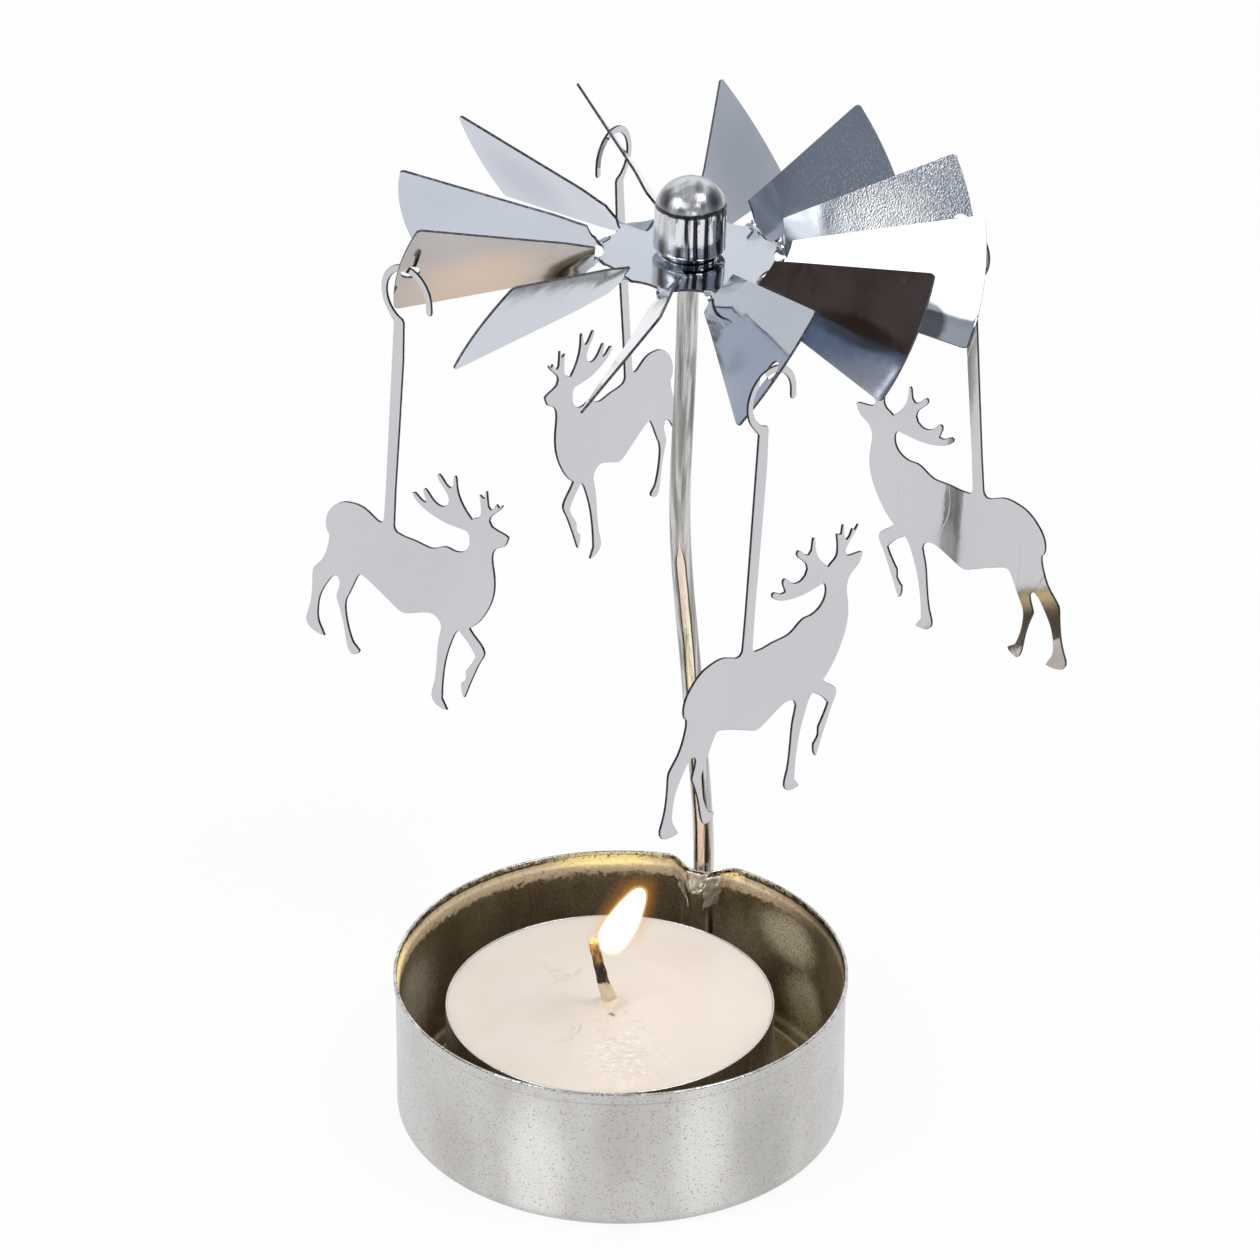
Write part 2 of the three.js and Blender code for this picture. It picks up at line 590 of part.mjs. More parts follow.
// Each pendant hangs plumb from its hole, turned a little off its blade
pendantNames.forEach((name, place) => {
  const bladeAngle = bladeTurn(place * pendantEvery);
  const hole = holeSpot.clone().applyAxisAngle(vec3(0, 0, 1), bladeAngle).applyMatrix4(wheel.matrixWorld);
  const pendant = named(name, pendantGeometry(), steel(0xc8c8cd, 0.06));
  pendant.position.copy(hole);
  pendant.rotation.set(Math.PI / 2, 0, bladeAngle + Math.PI / 2 + degrees(pendantTurns[place]), 'ZYX');
  pendant.translateX(pendantShifts[place]);
  holder.add(pendant);
});

export default holder;
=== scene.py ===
# Looks of the rotating candle holder: tinplate cup with a tealight, bent wire post, fan wheel, four reindeer.
# Lengths are written in millimetres and turned into metres where a mesh is made.
import json
import math
import random

import bmesh
import bpy
import numpy as np
from mathutils import Matrix, Vector, noise
from mathutils.geometry import tessellate_polygon

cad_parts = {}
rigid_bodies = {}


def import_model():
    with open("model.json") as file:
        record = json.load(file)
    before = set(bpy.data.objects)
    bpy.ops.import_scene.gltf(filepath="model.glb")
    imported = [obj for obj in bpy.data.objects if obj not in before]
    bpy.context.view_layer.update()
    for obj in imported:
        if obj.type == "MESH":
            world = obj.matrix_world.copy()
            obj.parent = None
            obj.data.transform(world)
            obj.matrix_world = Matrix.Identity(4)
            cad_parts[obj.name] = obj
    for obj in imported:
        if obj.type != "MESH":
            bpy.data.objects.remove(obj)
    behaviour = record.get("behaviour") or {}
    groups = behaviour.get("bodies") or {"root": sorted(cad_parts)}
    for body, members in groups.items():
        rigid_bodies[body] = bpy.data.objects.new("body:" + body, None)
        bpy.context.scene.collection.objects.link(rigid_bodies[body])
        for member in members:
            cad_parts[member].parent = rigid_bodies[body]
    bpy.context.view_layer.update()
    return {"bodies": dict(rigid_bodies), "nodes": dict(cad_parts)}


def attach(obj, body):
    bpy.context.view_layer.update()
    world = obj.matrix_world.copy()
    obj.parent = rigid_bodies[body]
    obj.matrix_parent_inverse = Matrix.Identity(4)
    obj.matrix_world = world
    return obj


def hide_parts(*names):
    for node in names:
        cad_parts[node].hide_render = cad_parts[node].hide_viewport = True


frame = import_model()
mm = 0.001
print("frame loaded,", len(frame["nodes"]), "nodes")


def addPiece(name, points, faces, finishes, faceFinish=None, sharp=40):
    mesh = bpy.data.meshes.new(name)
    mesh.from_pydata([(x * mm, y * mm, z * mm) for x, y, z in points], [], faces)
    for finish in finishes:
        mesh.materials.append(finish)
    if faceFinish is not None:
        mesh.polygons.foreach_set("material_index", faceFinish)
    work = bmesh.new()
    work.from_mesh(mesh)
    bmesh.ops.recalc_face_normals(work, faces=work.faces)
    work.to_mesh(mesh)
    work.free()
    mesh.polygons.foreach_set("use_smooth", [True] * len(mesh.polygons))
    mesh.set_sharp_from_angle(angle=math.radians(sharp))
    mesh.update()
    piece = bpy.data.objects.new(name, mesh)
    bpy.context.scene.collection.objects.link(piece)
    return piece


def bakeModifiers(piece):
    bpy.context.view_layer.update()
    baked = bpy.data.meshes.new_from_object(piece.evaluated_get(bpy.context.evaluated_depsgraph_get()))
    piece.modifiers.clear()
    piece.data = baked


def addSolidify(piece, sheet):
    solid = piece.modifiers.new("sheet", "SOLIDIFY")
    solid.thickness = sheet * mm
    solid.offset = 0
    return solid


def joinRows(rows, closedRound=True):
    # faces between neighbouring rows of point numbers; a row of one point is a pole
    faces = []
    rowOf = []
    for index, (a, b) in enumerate(zip(rows, rows[1:])):
        count = max(len(a), len(b))
        for k in range(count if closedRound else count - 1):
            n = (k + 1) % count
            corners = [a[k % len(a)], a[n % len(a)], b[n % len(b)], b[k % len(b)]]
            corners = [c for i, c in enumerate(corners) if c not in corners[:i]]
            if len(corners) > 2:
                faces.append(corners)
                rowOf.append(index)
    return faces, rowOf


def evenTurns(count):
    return [2 * math.pi * k / count for k in range(count)]


def polar(reach, turn, height, x=0.0):
    # point round an upright axis that stands at x
    return (x + reach * math.cos(turn), reach * math.sin(turn), height)


def wobble(x, y, z):
    return noise.noise(Vector((x, y, z)))


def turnedBody(profile, turns, place=None):
    # profile of (radius, height) carried round the axis; place moves a point after that
    points = []
    rows = []
    for radius, height in profile:
        row = []
        for turn in turns if radius > 1e-6 else [0]:
            point = polar(radius, turn, height)
            row.append(len(points))
            points.append(place(point, turn) if place else point)
        rows.append(row)
    faces, rowOf = joinRows(rows)
    return points, faces, rowOf


def arc(centre, radius, start, end, steps):
    angles = [math.radians(start + (end - start) * k / steps) for k in range(steps + 1)]
    return [(centre[0] + radius * math.cos(a), centre[1] + radius * math.sin(a)) for a in angles]


def between(a, b, steps):
    # points after a up to and with b
    return [tuple(p + (q - p) * k / steps for p, q in zip(a, b)) for k in range(1, steps + 1)]


def clamp01(value):
    return min(1.0, max(0.0, value))


def ease(value):
    value = clamp01(value)
    return value * value * (3 - 2 * value)


def curveSpan(p0, p1, p2, p3, steps):
    # centripetal curve from p1 up to, but without, p2; p0 and p3 are the stops beside them
    d0, d1, d2 = (max((b - a).length ** 0.5, 1e-4) for a, b in ((p0, p1), (p1, p2), (p2, p3)))
    t1 = ((p1 - p0) / d0 - (p2 - p0) / (d0 + d1) + (p2 - p1) / d1) * d1
    t2 = ((p2 - p1) / d1 - (p3 - p1) / (d1 + d2) + (p3 - p2) / d2) * d1
    square = 3 * (p2 - p1) - 2 * t1 - t2
    cube = 2 * (p1 - p2) + t1 + t2
    parts = [k / steps for k in range(steps)]
    return [p1 + t1 * w + square * w ** 2 + cube * w ** 3 for w in parts]


def smoothRoute(stops, steps):
    stops = [Vector(s) for s in stops]
    ends = [stops[0] * 2 - stops[1], *stops, stops[-1] * 2 - stops[-2]]
    route = []
    for k in range(len(stops) - 1):
        route += curveSpan(*ends[k:k + 4], steps)
    return [*route, stops[-1]]


def tubeBody(route, radii, sides, dent=None):
    # round tube along a route, closed at both ends; dent(step, side) changes the radius a little
    points = [route[0]]
    rows = [[0]]
    across = Vector((1, 0, 0))
    for step, (spot, radius) in enumerate(zip(route, radii)):
        ahead = route[min(step + 1, len(route) - 1)] - route[max(step - 1, 0)]
        ahead.normalize()
        across = (across - ahead * across.dot(ahead)).normalized()
        other = ahead.cross(across)
        rows.append(list(range(len(points), len(points) + sides)))
        for turn in evenTurns(sides):
            reach = radius * (1 + (dent(step, turn) if dent else 0))
            points.append(spot + (across * math.cos(turn) + other * math.sin(turn)) * reach)
    rows.append([len(points)])
    points.append(route[-1])
    return points, joinRows(rows)[0]


class Nodes:
    # short ways to add and join the nodes of one tree
    def __init__(self, tree):
        self.tree = tree

    def give(self, socket, value):
        if isinstance(value, bpy.types.NodeSocket):
            self.tree.links.new(value, socket)
        else:
            socket.default_value = value

    def add(self, kind, inputs=None, **settings):
        node = self.tree.nodes.new(kind)
        for key, value in settings.items():
            setattr(node, key, value)
        for key, value in (inputs or {}).items():
            self.give(node.inputs[key], value)
        return node

    def calc(self, operation, a, b=0.0):
        return self.add("ShaderNodeMath", {0: a, 1: b}, operation=operation).outputs[0]

    def plus(self, a, b):
        return self.calc("ADD", a, b)

    def less(self, a, b):
        return self.calc("SUBTRACT", a, b)

    def times(self, a, b):
        return self.calc("MULTIPLY", a, b)

    def most(self, a, b):
        return self.calc("MAXIMUM", a, b)

    def apart(self, a, b):
        return self.calc("ABSOLUTE", self.less(a, b))

    def length(self, vector):
        return self.add("ShaderNodeVectorMath", {0: vector}, operation="LENGTH").outputs["Value"]

    def ramp(self, value, low, high, lowTo=0.0, highTo=1.0):
        inputs = {"Value": value, "From Min": low, "From Max": high, "To Min": lowTo, "To Max": highTo}
        return self.add("ShaderNodeMapRange", inputs, interpolation_type="SMOOTHSTEP").outputs["Result"]

    def mix(self, share, a, b):
        node = self.add("ShaderNodeMix", {"Factor": share}, data_type="RGBA")
        for socket, value in ((node.inputs[6], a), (node.inputs[7], b)):
            self.give(socket, value if isinstance(value, bpy.types.NodeSocket) else (*value, 1))
        return node.outputs[2]


class Finish(Nodes):
    # one material; its noises and patches are placed on the piece, in millimetres
    def __init__(self, name):
        self.material = bpy.data.materials.new(name)
        self.material.use_nodes = True
        self.tree = self.material.node_tree
        self.shader = self.tree.nodes["Principled BSDF"]
        self.output = self.tree.nodes["Material Output"]

    def set(self, **values):
        for key, value in values.items():
            self.give(self.shader.inputs[key.replace("_", " ")], value)

    def point(self, stretch=(1, 1, 1), turn=(0, 0, 0), shift=(0, 0, 0)):
        inputs = {"Vector": self.add("ShaderNodeTexCoord").outputs["Object"], "Location": shift,
                  "Rotation": turn, "Scale": [s / mm for s in stretch]}
        return self.add("ShaderNodeMapping", inputs).outputs["Vector"]

    def part(self, axis):
        return self.add("ShaderNodeSeparateXYZ", {"Vector": self.point()}).outputs[axis]

    def noise(self, size, detail=2.0, stretch=(1, 1, 1), turn=(0, 0, 0), distortion=0.0, roughness=0.5):
        inputs = {"Vector": self.point(stretch, turn), "Scale": 1 / size, "Detail": detail,
                  "Roughness": roughness, "Distortion": distortion}
        return self.add("ShaderNodeTexNoise", inputs).outputs["Fac"]

    def spots(self, size, detail, low, high, share=1.0, **more):
        # share of the spots where a noise passes from low to high
        return self.ramp(self.noise(size, detail, **more), low, high, 0.0, share)

    def swing(self, value, reach):
        # a noise moved to swing round zero
        return self.times(self.less(value, 0.5), reach)

    def ragged(self, value, reach, size, detail):
        return self.plus(value, self.times(self.noise(size, detail), reach))

    def patch(self, middle, reach, share, ragged=0.5, size=1.5):
        # share of a soft patch round a middle, with a ragged edge
        place = self.point([1 / r for r in reach], shift=[-m / r for m, r in zip(middle, reach)])
        away = self.ragged(self.length(place), ragged, size, 4.0)
        return self.ramp(away, 0.25 + ragged / 2, 1.0 + ragged / 2, share, 0.0)

    def paintedLightPatches(self, places):
        # the strongest of several patches of painted light
        share = 0.0
        for place in places:
            share = self.most(self.patch(*place), share)
        return share

    def lines(self, size, width, stretch, turn=(0, 0, 0), distortion=0.0):
        # thin lines where a stretched noise passes its middle value
        value = self.noise(size, 1.0, stretch, turn, distortion)
        return self.ramp(self.apart(value, 0.5), 0.0, width, 1.0, 0.0)

    def bump(self, *layers):
        normal = None
        for height, depth in layers:
            inputs = {"Height": height, "Distance": depth * mm, "Strength": 1.0}
            if normal is not None:
                inputs["Normal"] = normal
            normal = self.add("ShaderNodeBump", inputs).outputs["Normal"]
        self.set(Normal=normal)


# bare metal where a piece says nothing else; sizes and depths in millimetres
plainMetal = {
    "metal": 1.0, "patch": 1.6, "stretch": (1, 1, 1), "roughSpread": 0.16, "paintedLightPatches": [],
    "fleckSize": 0.3, "fleckFrom": 0.57, "fleckShare": 0.75, "fleckSoft": 0.05, "fleckColour": (0.06, 0.05, 0.04),
    "wave": 1.5, "waveDepth": 0.03, "grain": 0.3, "grainDepth": 0.02,
    "scratchSize": 2, "scratchWidth": 0.01, "scratchStretch": (1, 1, 1), "scratchTurn": (0, 0, 0),
    "scratchRough": 0.2, "scratchDepth": 0.01,
}


def metalFinish(name, look, paint=None):
    # bare sheet or wire: slow change of tone, patches of painted light and shade, small flecks, grain, painted white
    # sparkle of reflections where a piece asks for it, and fine scratches; paint adds more painted light to the
    # colour
    look = {**plainMetal, **look}
    finish = Finish(name)
    tone = finish.spots(look["patch"], 3.0, 0.35, 0.65, stretch=look["stretch"])
    colour = finish.mix(tone, look["colour"], look["otherColour"])
    # patches of painted highlight, painted shade and painted reflection
    for middle, reach, share, ragged, paintedLightColour in look["paintedLightPatches"]:
        colour = finish.mix(finish.patch(middle, reach, share, ragged), colour, paintedLightColour)
    if paint:
        colour = paint(finish, colour)
    fleck = finish.spots(look["fleckSize"], 3.0, look["fleckFrom"], look["fleckFrom"] + look["fleckSoft"],
                         look["fleckShare"], roughness=0.6)
    colour = finish.mix(fleck, colour, look["fleckColour"])
    marks = finish.lines(look["scratchSize"], look["scratchWidth"], look["scratchStretch"], look["scratchTurn"], 0.4)
    rough = finish.ramp(finish.noise(look["patch"] * 0.5, 4.0, look["stretch"]), 0.3, 0.7,
                        look["roughness"], look["roughness"] + look["roughSpread"])
    rough = finish.plus(rough, finish.times(marks, look["scratchRough"]))
    grain = finish.noise(look["grain"], 3.0)
    if "grainAndSparkleAt" in look:
        # painted white sparkle of reflections on the grain; the grain's bump there is real
        place = finish.patch(*look["grainAndSparkleAt"])
        paintedSparkle = finish.spots(look["grain"] * 1.6, 2.0, 0.52, 0.62, look["paintedSparkleShare"])
        colour = finish.mix(finish.times(paintedSparkle, place), colour, look["speckColour"])
        grain = finish.swing(grain, place)
    finish.set(Base_Color=colour, Metallic=look["metal"], Roughness=rough)
    finish.bump((finish.noise(look["wave"], 2.0), look["waveDepth"]), (grain, look["grainDepth"]),
                (marks, -look["scratchDepth"]))
    return finish.material


def edgeFinish(name, look):
    # cut edge of a sheet: darker, with burrs
    finish = Finish(name)
    tone = finish.noise(0.5, 3.0)
    burr = [c * 2.6 for c in look["colour"]]
    finish.set(Base_Color=finish.mix(finish.ramp(tone, 0.4, 0.7), look["colour"], burr), Metallic=1.0,
               Roughness=finish.ramp(tone, 0.3, 0.7, look["roughness"], look["roughness"] + 0.15))
    finish.bump((finish.noise(0.2, 2.0), 0.02))
    return finish.material


# base cup

cup = {
    "radius": 25.9, "height": 18.15, "sheet": 0.4, "corner": 1.4,
    "lip": 0.25, "lipHeight": 1.1, "lipStep": 0.55,
    # the floor is dished: its height in the middle, at the dish's edge and near the foot ring
    "dishReach": 4, "dishHeights": (0.25, 0.22, 0.1),
    "rimFrom": 0.36, "segments": 288, "crowding": 0.78,
    "grooveAngle": 67.3, "grooveDepth": 2.55, "grooveFlat": 0.55, "grooveHalf": 2.3,
    "grooveRimHalf": 4.6, "grooveFlare": 5.5, "grooveEnd": 3.2,
    "crumpleFrom": 11, "crumpleHalf": 5, "crumple": 0.22, "oval": 0.03,
    "outside": {
        "colour": (0.54, 0.525, 0.505), "otherColour": (0.60, 0.59, 0.575), "patch": 6, "stretch": (1, 1, 0.5),
        "roughness": 0.22, "roughSpread": 0.12, "wave": 7, "waveDepth": 0.04, "grain": 0.32, "grainDepth": 0.06,
        "fleckSize": 0.26, "fleckFrom": 0.585, "fleckShare": 0.6, "fleckColour": (0.24, 0.21, 0.165),
        "scratchSize": 5, "scratchWidth": 0.004, "scratchStretch": (1, 1, 0.5), "scratchTurn": (0.5, 0.3, 0.2),
        "scratchRough": 0.15, "scratchDepth": 0.006,
        # patches of painted highlight and shade, painted bluish reflection at both sides and painted shade along the
        # foot: middle, reach, share, raggedness, colour
        "paintedLightPatches": [
            ((-9.6, -24.0, 7.0), (5.2, 9, 15), 0.95, 0.35, (0.80, 0.785, 0.77)),
            ((9.0, -24.4, 9.0), (4.6, 9, 15), 0.85, 0.35, (0.77, 0.76, 0.745)),
            ((16.5, -19.5, 7.0), (5.0, 9, 14), 0.7, 0.35, (0.43, 0.42, 0.40)),
            ((0, -25.9, 12.0), (4.5, 9, 8), 0.5, 0.35, (0.46, 0.44, 0.425)),
            ((-18.5, -17.8, 5.5), (4.5, 9, 7), 0.25, 1.2, (0.40, 0.38, 0.36)),
            ((25, -6, 10), (5, 12, 20), 0.6, 0.3, (0.55, 0.57, 0.61)),
            ((-25, -6, 10), (5, 12, 20), 0.6, 0.3, (0.56, 0.58, 0.62)),
            ((0, 0, 0), (900, 900, 1.7), 0.55, 0.5, (0.38, 0.365, 0.35)),
        ],
    },
    "rim": {"colour": (0.74, 0.73, 0.72), "otherColour": (0.50, 0.48, 0.45), "roughness": 0.14},
    # inner edge of the rim: painted shade, darkest at the front and right, with a painted golden glint at the back
    "rimInsidePaintedLight": {
        "colour": (0.20, 0.15, 0.10), "otherColour": (0.95, 0.84, 0.62), "patch": 0.7, "roughness": 0.2,
        "fleckColour": (0.04, 0.03, 0.02), "grainDepth": 0.03,
        "paintedLightPatches": [
            ((0, -30, 18), (60, 30, 9), 0.95, 0.2, (0.03, 0.028, 0.025)),
            ((32, 4, 18), (15, 18, 9), 0.95, 0.2, (0.03, 0.028, 0.025)),
            ((-1.5, 25.8, 18), (11, 4, 4), 0.9, 0.8, (1.0, 0.88, 0.50)),
        ],
    },
    "inside": {
        "colour": (0.34, 0.262, 0.155), "otherColour": (0.48, 0.385, 0.255),
        # patches of painted soft light and shade on the inside wall: middle, reach, share, raggedness, colour
        "paintedLightPatches": [
            ((19.8, 16.0, 12.2), (8.2, 7.0, 4.8), 1.0, 0.35, (1.0, 0.91, 0.66)),
            ((21.8, 13.4, 4.6), (6.0, 6.0, 6.0), 1.0, 0.35, (1.0, 0.91, 0.64)),
            ((14.0, 21.0, 8.5), (6.0, 6.0, 7.0), 0.45, 0.6, (0.55, 0.48, 0.35)),
            ((-24.0, 7.0, 8.0), (6.0, 10.0, 9.0), 1.0, 0.4, (0.78, 0.68, 0.52)),
        ],
        # painted shade in the groove's upright crease and painted highlight lines beside it: middle, reach, share,
        # colour
        "paintedCreaseShading": [
            ((10.62, 21.8, 9.8), (0.42, 4, 4.4), 0.92, (0.02, 0.015, 0.01)),
            ((10.12, 21.8, 9.6), (0.26, 4, 4.0), 0.80, (0.85, 0.78, 0.62)),
            ((7.3, 22.5, 9.6), (0.30, 4, 4.4), 0.60, (0.70, 0.62, 0.48)),
        ],
        # painted golden glints under the rim, and where its band fades: middle, reach, share, raggedness, noise size
        "glints": [
            ((-25.4, 0, 17.2), (4, 12, 1.3), 1.0, 0.9, 0.5),
            ((-1.5, 25.4, 17.4), (10, 4, 1.5), 1.0, 0.9, 0.4),
            ((13.2, 21.9, 17.4), (2.2, 3, 0.8), 1.0, 0.9, 0.4),
        ],
        # painted glow of the glints, the painted highlight band under the rim and the painted dark shade line above
        # it
        "glintColour": (1.0, 0.84, 0.34), "glowColour": (1.0, 0.72, 0.30), "glow": 0.5,
        "bandColour": (0.98, 0.79, 0.53), "bandDark": (0.34, 0.24, 0.13), "bandFrom": 16.1, "bandFull": 16.9,
        "bandRagged": 2.2, "bandFade": ((26, 5, 17), (15, 21, 30), 1.0, 0.3),
        "lineColour": (0.03, 0.025, 0.02), "lineHeight": 17.55, "lineRagged": 0.3,
        "ringReach": 23.4, "ringColour": (0.95, 0.88, 0.74),
        "grainSize": 0.2, "grainColour": (0.11, 0.085, 0.045),
        "roughness": 0.34, "roughSpread": 0.14, "metal": 0.80, "brightMetal": 0.30,
    },
}
grooveTurn = math.radians(cup["grooveAngle"])


def grooveAt(along, height):
    # how deep the groove is pressed, at a distance round the wall and a height
    flare = ease(1 - (cup["height"] - height) / cup["grooveFlare"])
    half = cup["grooveHalf"] + (cup["grooveRimHalf"] - cup["grooveHalf"]) * flare
    across = ease((half - abs(along)) / (half - cup["grooveFlat"]))
    below = ease((height - cup["corner"]) / (cup["grooveEnd"] - cup["corner"]))
    return cup["grooveDepth"] * across * below


def cupProfile():
    radius, top, sheet, corner = cup["radius"], cup["height"], cup["sheet"], cup["corner"]
    lip = radius + cup["lip"]
    stepTop = top - cup["lipHeight"]
    stepFoot = stepTop - cup["lipStep"]
    inner = radius - sheet
    innerLip = lip - sheet
    innerCorner = corner - sheet
    floorEdge = inner - innerCorner
    half = sheet / 2
    middle, dish, foot = cup["dishHeights"]

    def lipStep(reach, steps):
        return [(reach + cup["lip"] * ease(k / 5), stepFoot + cup["lipStep"] * k / 5) for k in steps]

    outside = [(0, middle), (cup["dishReach"], dish),
               *between((cup["dishReach"], dish), (radius - corner - 2.2, foot), 6),
               (radius - corner - 1.4, 0), *arc((radius - corner, corner), corner, -90, 0, 9),
               *between((radius, corner), (radius, stepFoot), 26), *lipStep(radius, range(1, 6))]
    rim = [*between((lip, stepTop), (lip, top - half), 3),
           *arc((lip - half, top - half), half, 0, 180, 8)[1:],
           *between((innerLip, top - half), (innerLip, stepTop), 3), *lipStep(inner, range(4, -1, -1))]
    inside = [*between((inner, stepFoot), (inner, corner), 26),
              *arc((floorEdge, sheet + innerCorner), innerCorner, 0, -90, 7)[1:],
              (floorEdge - 0.6, sheet), (floorEdge - 0.9, sheet + 0.12),
              (floorEdge - 1.3, sheet + 0.12), (floorEdge - 1.6, sheet), (12, sheet), (0, sheet)]
    # finishes by number: outside, rim, inside, inner edge of the rim in painted shade
    finishOf = []
    for index, (reach, height) in enumerate(outside + rim + inside):
        if height > top - cup["rimFrom"]:
            finishOf.append(1 if reach > lip - 0.7 * sheet else 3)
        else:
            finishOf.append(0 if index < len(outside) + 3 else 2)
    return outside + rim + inside, finishOf


def insideFinish():
    # dull olive inside with painted soft lights and shade, a painted golden highlight band and painted glints under
    # the rim, and a painted dark shade line above the band
    look = cup["inside"]
    finish = Finish("tinplate inside")
    tone = finish.spots(7, 3.0, 0.35, 0.65, stretch=(1, 1, 0.6))
    colour = finish.mix(tone, look["colour"], look["otherColour"])
    bright = 0.0
    for middle, reach, share, ragged, paintedLightColour in look["paintedLightPatches"]:
        patch = finish.patch(middle, reach, share, ragged, 0.8)
        colour = finish.mix(patch, colour, paintedLightColour)
        bright = finish.most(patch, bright)
    grain = finish.noise(look["grainSize"], 3.0, roughness=0.7)
    colour = finish.mix(finish.ramp(grain, 0.46, 0.62, 0.0, 0.6), colour, look["grainColour"])
    for middle, reach, share, paintedCreaseColour in look["paintedCreaseShading"]:
        colour = finish.mix(finish.patch(middle, reach, share, 0.1), colour, paintedCreaseColour)

    height = finish.part("Z")
    # painted highlight band under the rim
    band = finish.ramp(finish.ragged(height, look["bandRagged"], 0.6, 4.0), look["bandFrom"], look["bandFull"])
    band = finish.most(finish.less(band, finish.patch(*look["bandFade"])), 0.0)
    mottle = finish.mix(finish.spots(0.45, 3.0, 0.56, 0.68, 0.5), look["bandColour"], look["bandDark"])
    colour = finish.mix(band, colour, mottle)
    glint = finish.times(finish.paintedLightPatches(look["glints"]), finish.spots(0.3, 2.0, 0.36, 0.44))
    colour = finish.mix(glint, colour, look["glintColour"])
    bright = finish.most(finish.most(bright, band), glint)

    across = finish.add("ShaderNodeCombineXYZ", {"X": finish.part("X"), "Y": finish.part("Y")}).outputs[0]
    ring = finish.apart(finish.length(across), look["ringReach"])
    ring = finish.times(finish.ramp(ring, 0.14, 0.24, 0.9, 0.0), finish.ramp(height, 0.9, 0.7))
    colour = finish.mix(ring, colour, look["ringColour"])
    # painted dark shade line under the rim's edge
    line = finish.ragged(finish.apart(height, look["lineHeight"]), look["lineRagged"], 0.8, 3.0)
    line = finish.less(finish.ramp(line, 0.28, 0.42, 0.92, 0.0), finish.times(glint, 0.8))
    colour = finish.mix(finish.most(line, 0.0), colour, look["lineColour"])
    rough = finish.ramp(finish.noise(3.5, 4.0), 0.3, 0.7, look["roughness"], look["roughness"] + look["roughSpread"])
    # the painted glints also glow, as painted light of the flame
    finish.set(Base_Color=colour, Metallic=finish.ramp(bright, 0.0, 1.0, look["metal"], look["brightMetal"]),
               Roughness=rough, Emission_Color=finish.mix(glint, (0, 0, 0), look["glowColour"]),
               Emission_Strength=look["glow"])
    finish.bump((finish.noise(5, 2.0), 0.04), (grain, 0.04), (finish.times(finish.noise(0.5, 3.0), band), 0.08))
    return finish.material


def buildCup():
    profile, finishOf = cupProfile()
    inner = cup["radius"] - cup["sheet"]

    def press(point, turn):
        x, y, height = point
        radius = math.hypot(x, y)
        offset = (turn + math.pi) % (2 * math.pi) - math.pi
        # more of the rows' points stand near the groove
        offset -= cup["crowding"] * math.sin(offset)
        along = offset * cup["radius"]
        if radius > inner - 0.6:
            radius -= grooveAt(along, height)
        # the ridge is crumpled near its top, on the inside only
        if radius < cup["radius"] - 0.15 and height > cup["crumpleFrom"] and abs(along) < cup["crumpleHalf"]:
            fade = ease((height - cup["crumpleFrom"]) / 4) * ease((cup["crumpleHalf"] - abs(along)) / 3)
            radius -= fade * max(0.0, cup["crumple"] * wobble(along * 1.3, height * 0.9, 3.1) + 0.05)
        radius += cup["oval"] * (math.sin(2 * offset + 0.7) - 1) * ease(height / 12)
        return polar(radius, offset + grooveTurn, height)

    points, faces, rowOf = turnedBody(profile, evenTurns(cup["segments"]), press)
    finishes = [metalFinish("tinplate outside", cup["outside"]), metalFinish("tinplate rim", cup["rim"]),
                insideFinish(), metalFinish("inner edge of the rim, painted shade and glint", cup["rimInsidePaintedLight"])]
    piece = addPiece("cup_shell", points, faces, finishes, [finishOf[row] for row in rowOf], 50)
    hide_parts("base_cup")
    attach(piece, "base")


buildCup()
print("cup made")


# torn folds of tinplate on top of the groove's ridge

folds = {
    "sheet": 0.12, "crumple": 0.3, "gap": 0.3, "columns": 9, "rows": 12,
    # middle along the wall, width, top height, length down, slant
    "places": [(-0.1, 3.0, 18.0, 2.7, 0.3), (-2.1, 1.7, 17.5, 4.4, 0.5), (2.9, 1.6, 16.2, 3.4, -1.1)],
    "finish": {
        "colour": (0.95, 0.90, 0.79), "otherColour": (0.58, 0.51, 0.39), "metal": 0.55, "patch": 0.8,
        "roughness": 0.22, "roughSpread": 0.2, "wave": 0.8, "waveDepth": 0.08, "grain": 0.2, "grainDepth": 0.03,
        "fleckSize": 0.25, "fleckFrom": 0.58, "fleckShare": 0.6, "fleckColour": (0.1, 0.08, 0.05),
        "scratchSize": 1, "scratchRough": 0.1,
    },
}


def foldPoint(number, place, part, side):
    # part runs down the fold from 0 to 1, side across it from -0.5 to 0.5
    middle, width, top, length, slant = place
    height = min(top - part * length, cup["height"] - 0.15)
    taper = 1 - 0.35 * part + 0.55 * wobble(number * 5.0, part * 5, math.copysign(3, side))
    along = middle + side * width * taper + slant * part
    lift = folds["crumple"] * wobble(along * 2.1, height * 1.7, number * 3.0)
    curl = 0.35 * (2 * abs(side)) ** 3 + 0.25 * part ** 4
    radius = cup["radius"] - cup["sheet"] + cup["lip"] * ease((height - 16.5) / 0.6)
    radius -= grooveAt(along, height) + folds["gap"] + max(-0.1, lift) + curl * 0.5
    return polar(radius, grooveTurn + along / cup["radius"], height)


def buildFolds():
    finish = metalFinish("torn tinplate", folds["finish"])
    columns, rows = folds["columns"], folds["rows"]
    for number, place in enumerate(folds["places"], 1):
        points = [foldPoint(number, place, row / (rows - 1), column / (columns - 1) - 0.5)
                  for row in range(rows) for column in range(columns)]
        grid = [[row * columns + column for column in range(columns)] for row in range(rows)]
        faces, _ = joinRows(grid, closedRound=False)
        piece = addPiece(f"groove_fold_{number}", points, faces, [finish])
        addSolidify(piece, folds["sheet"])
        bakeModifiers(piece)
        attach(piece, "base")


buildFolds()
print("folds made")


# fan wheel; its centre and axis also place the cap and the needle's point

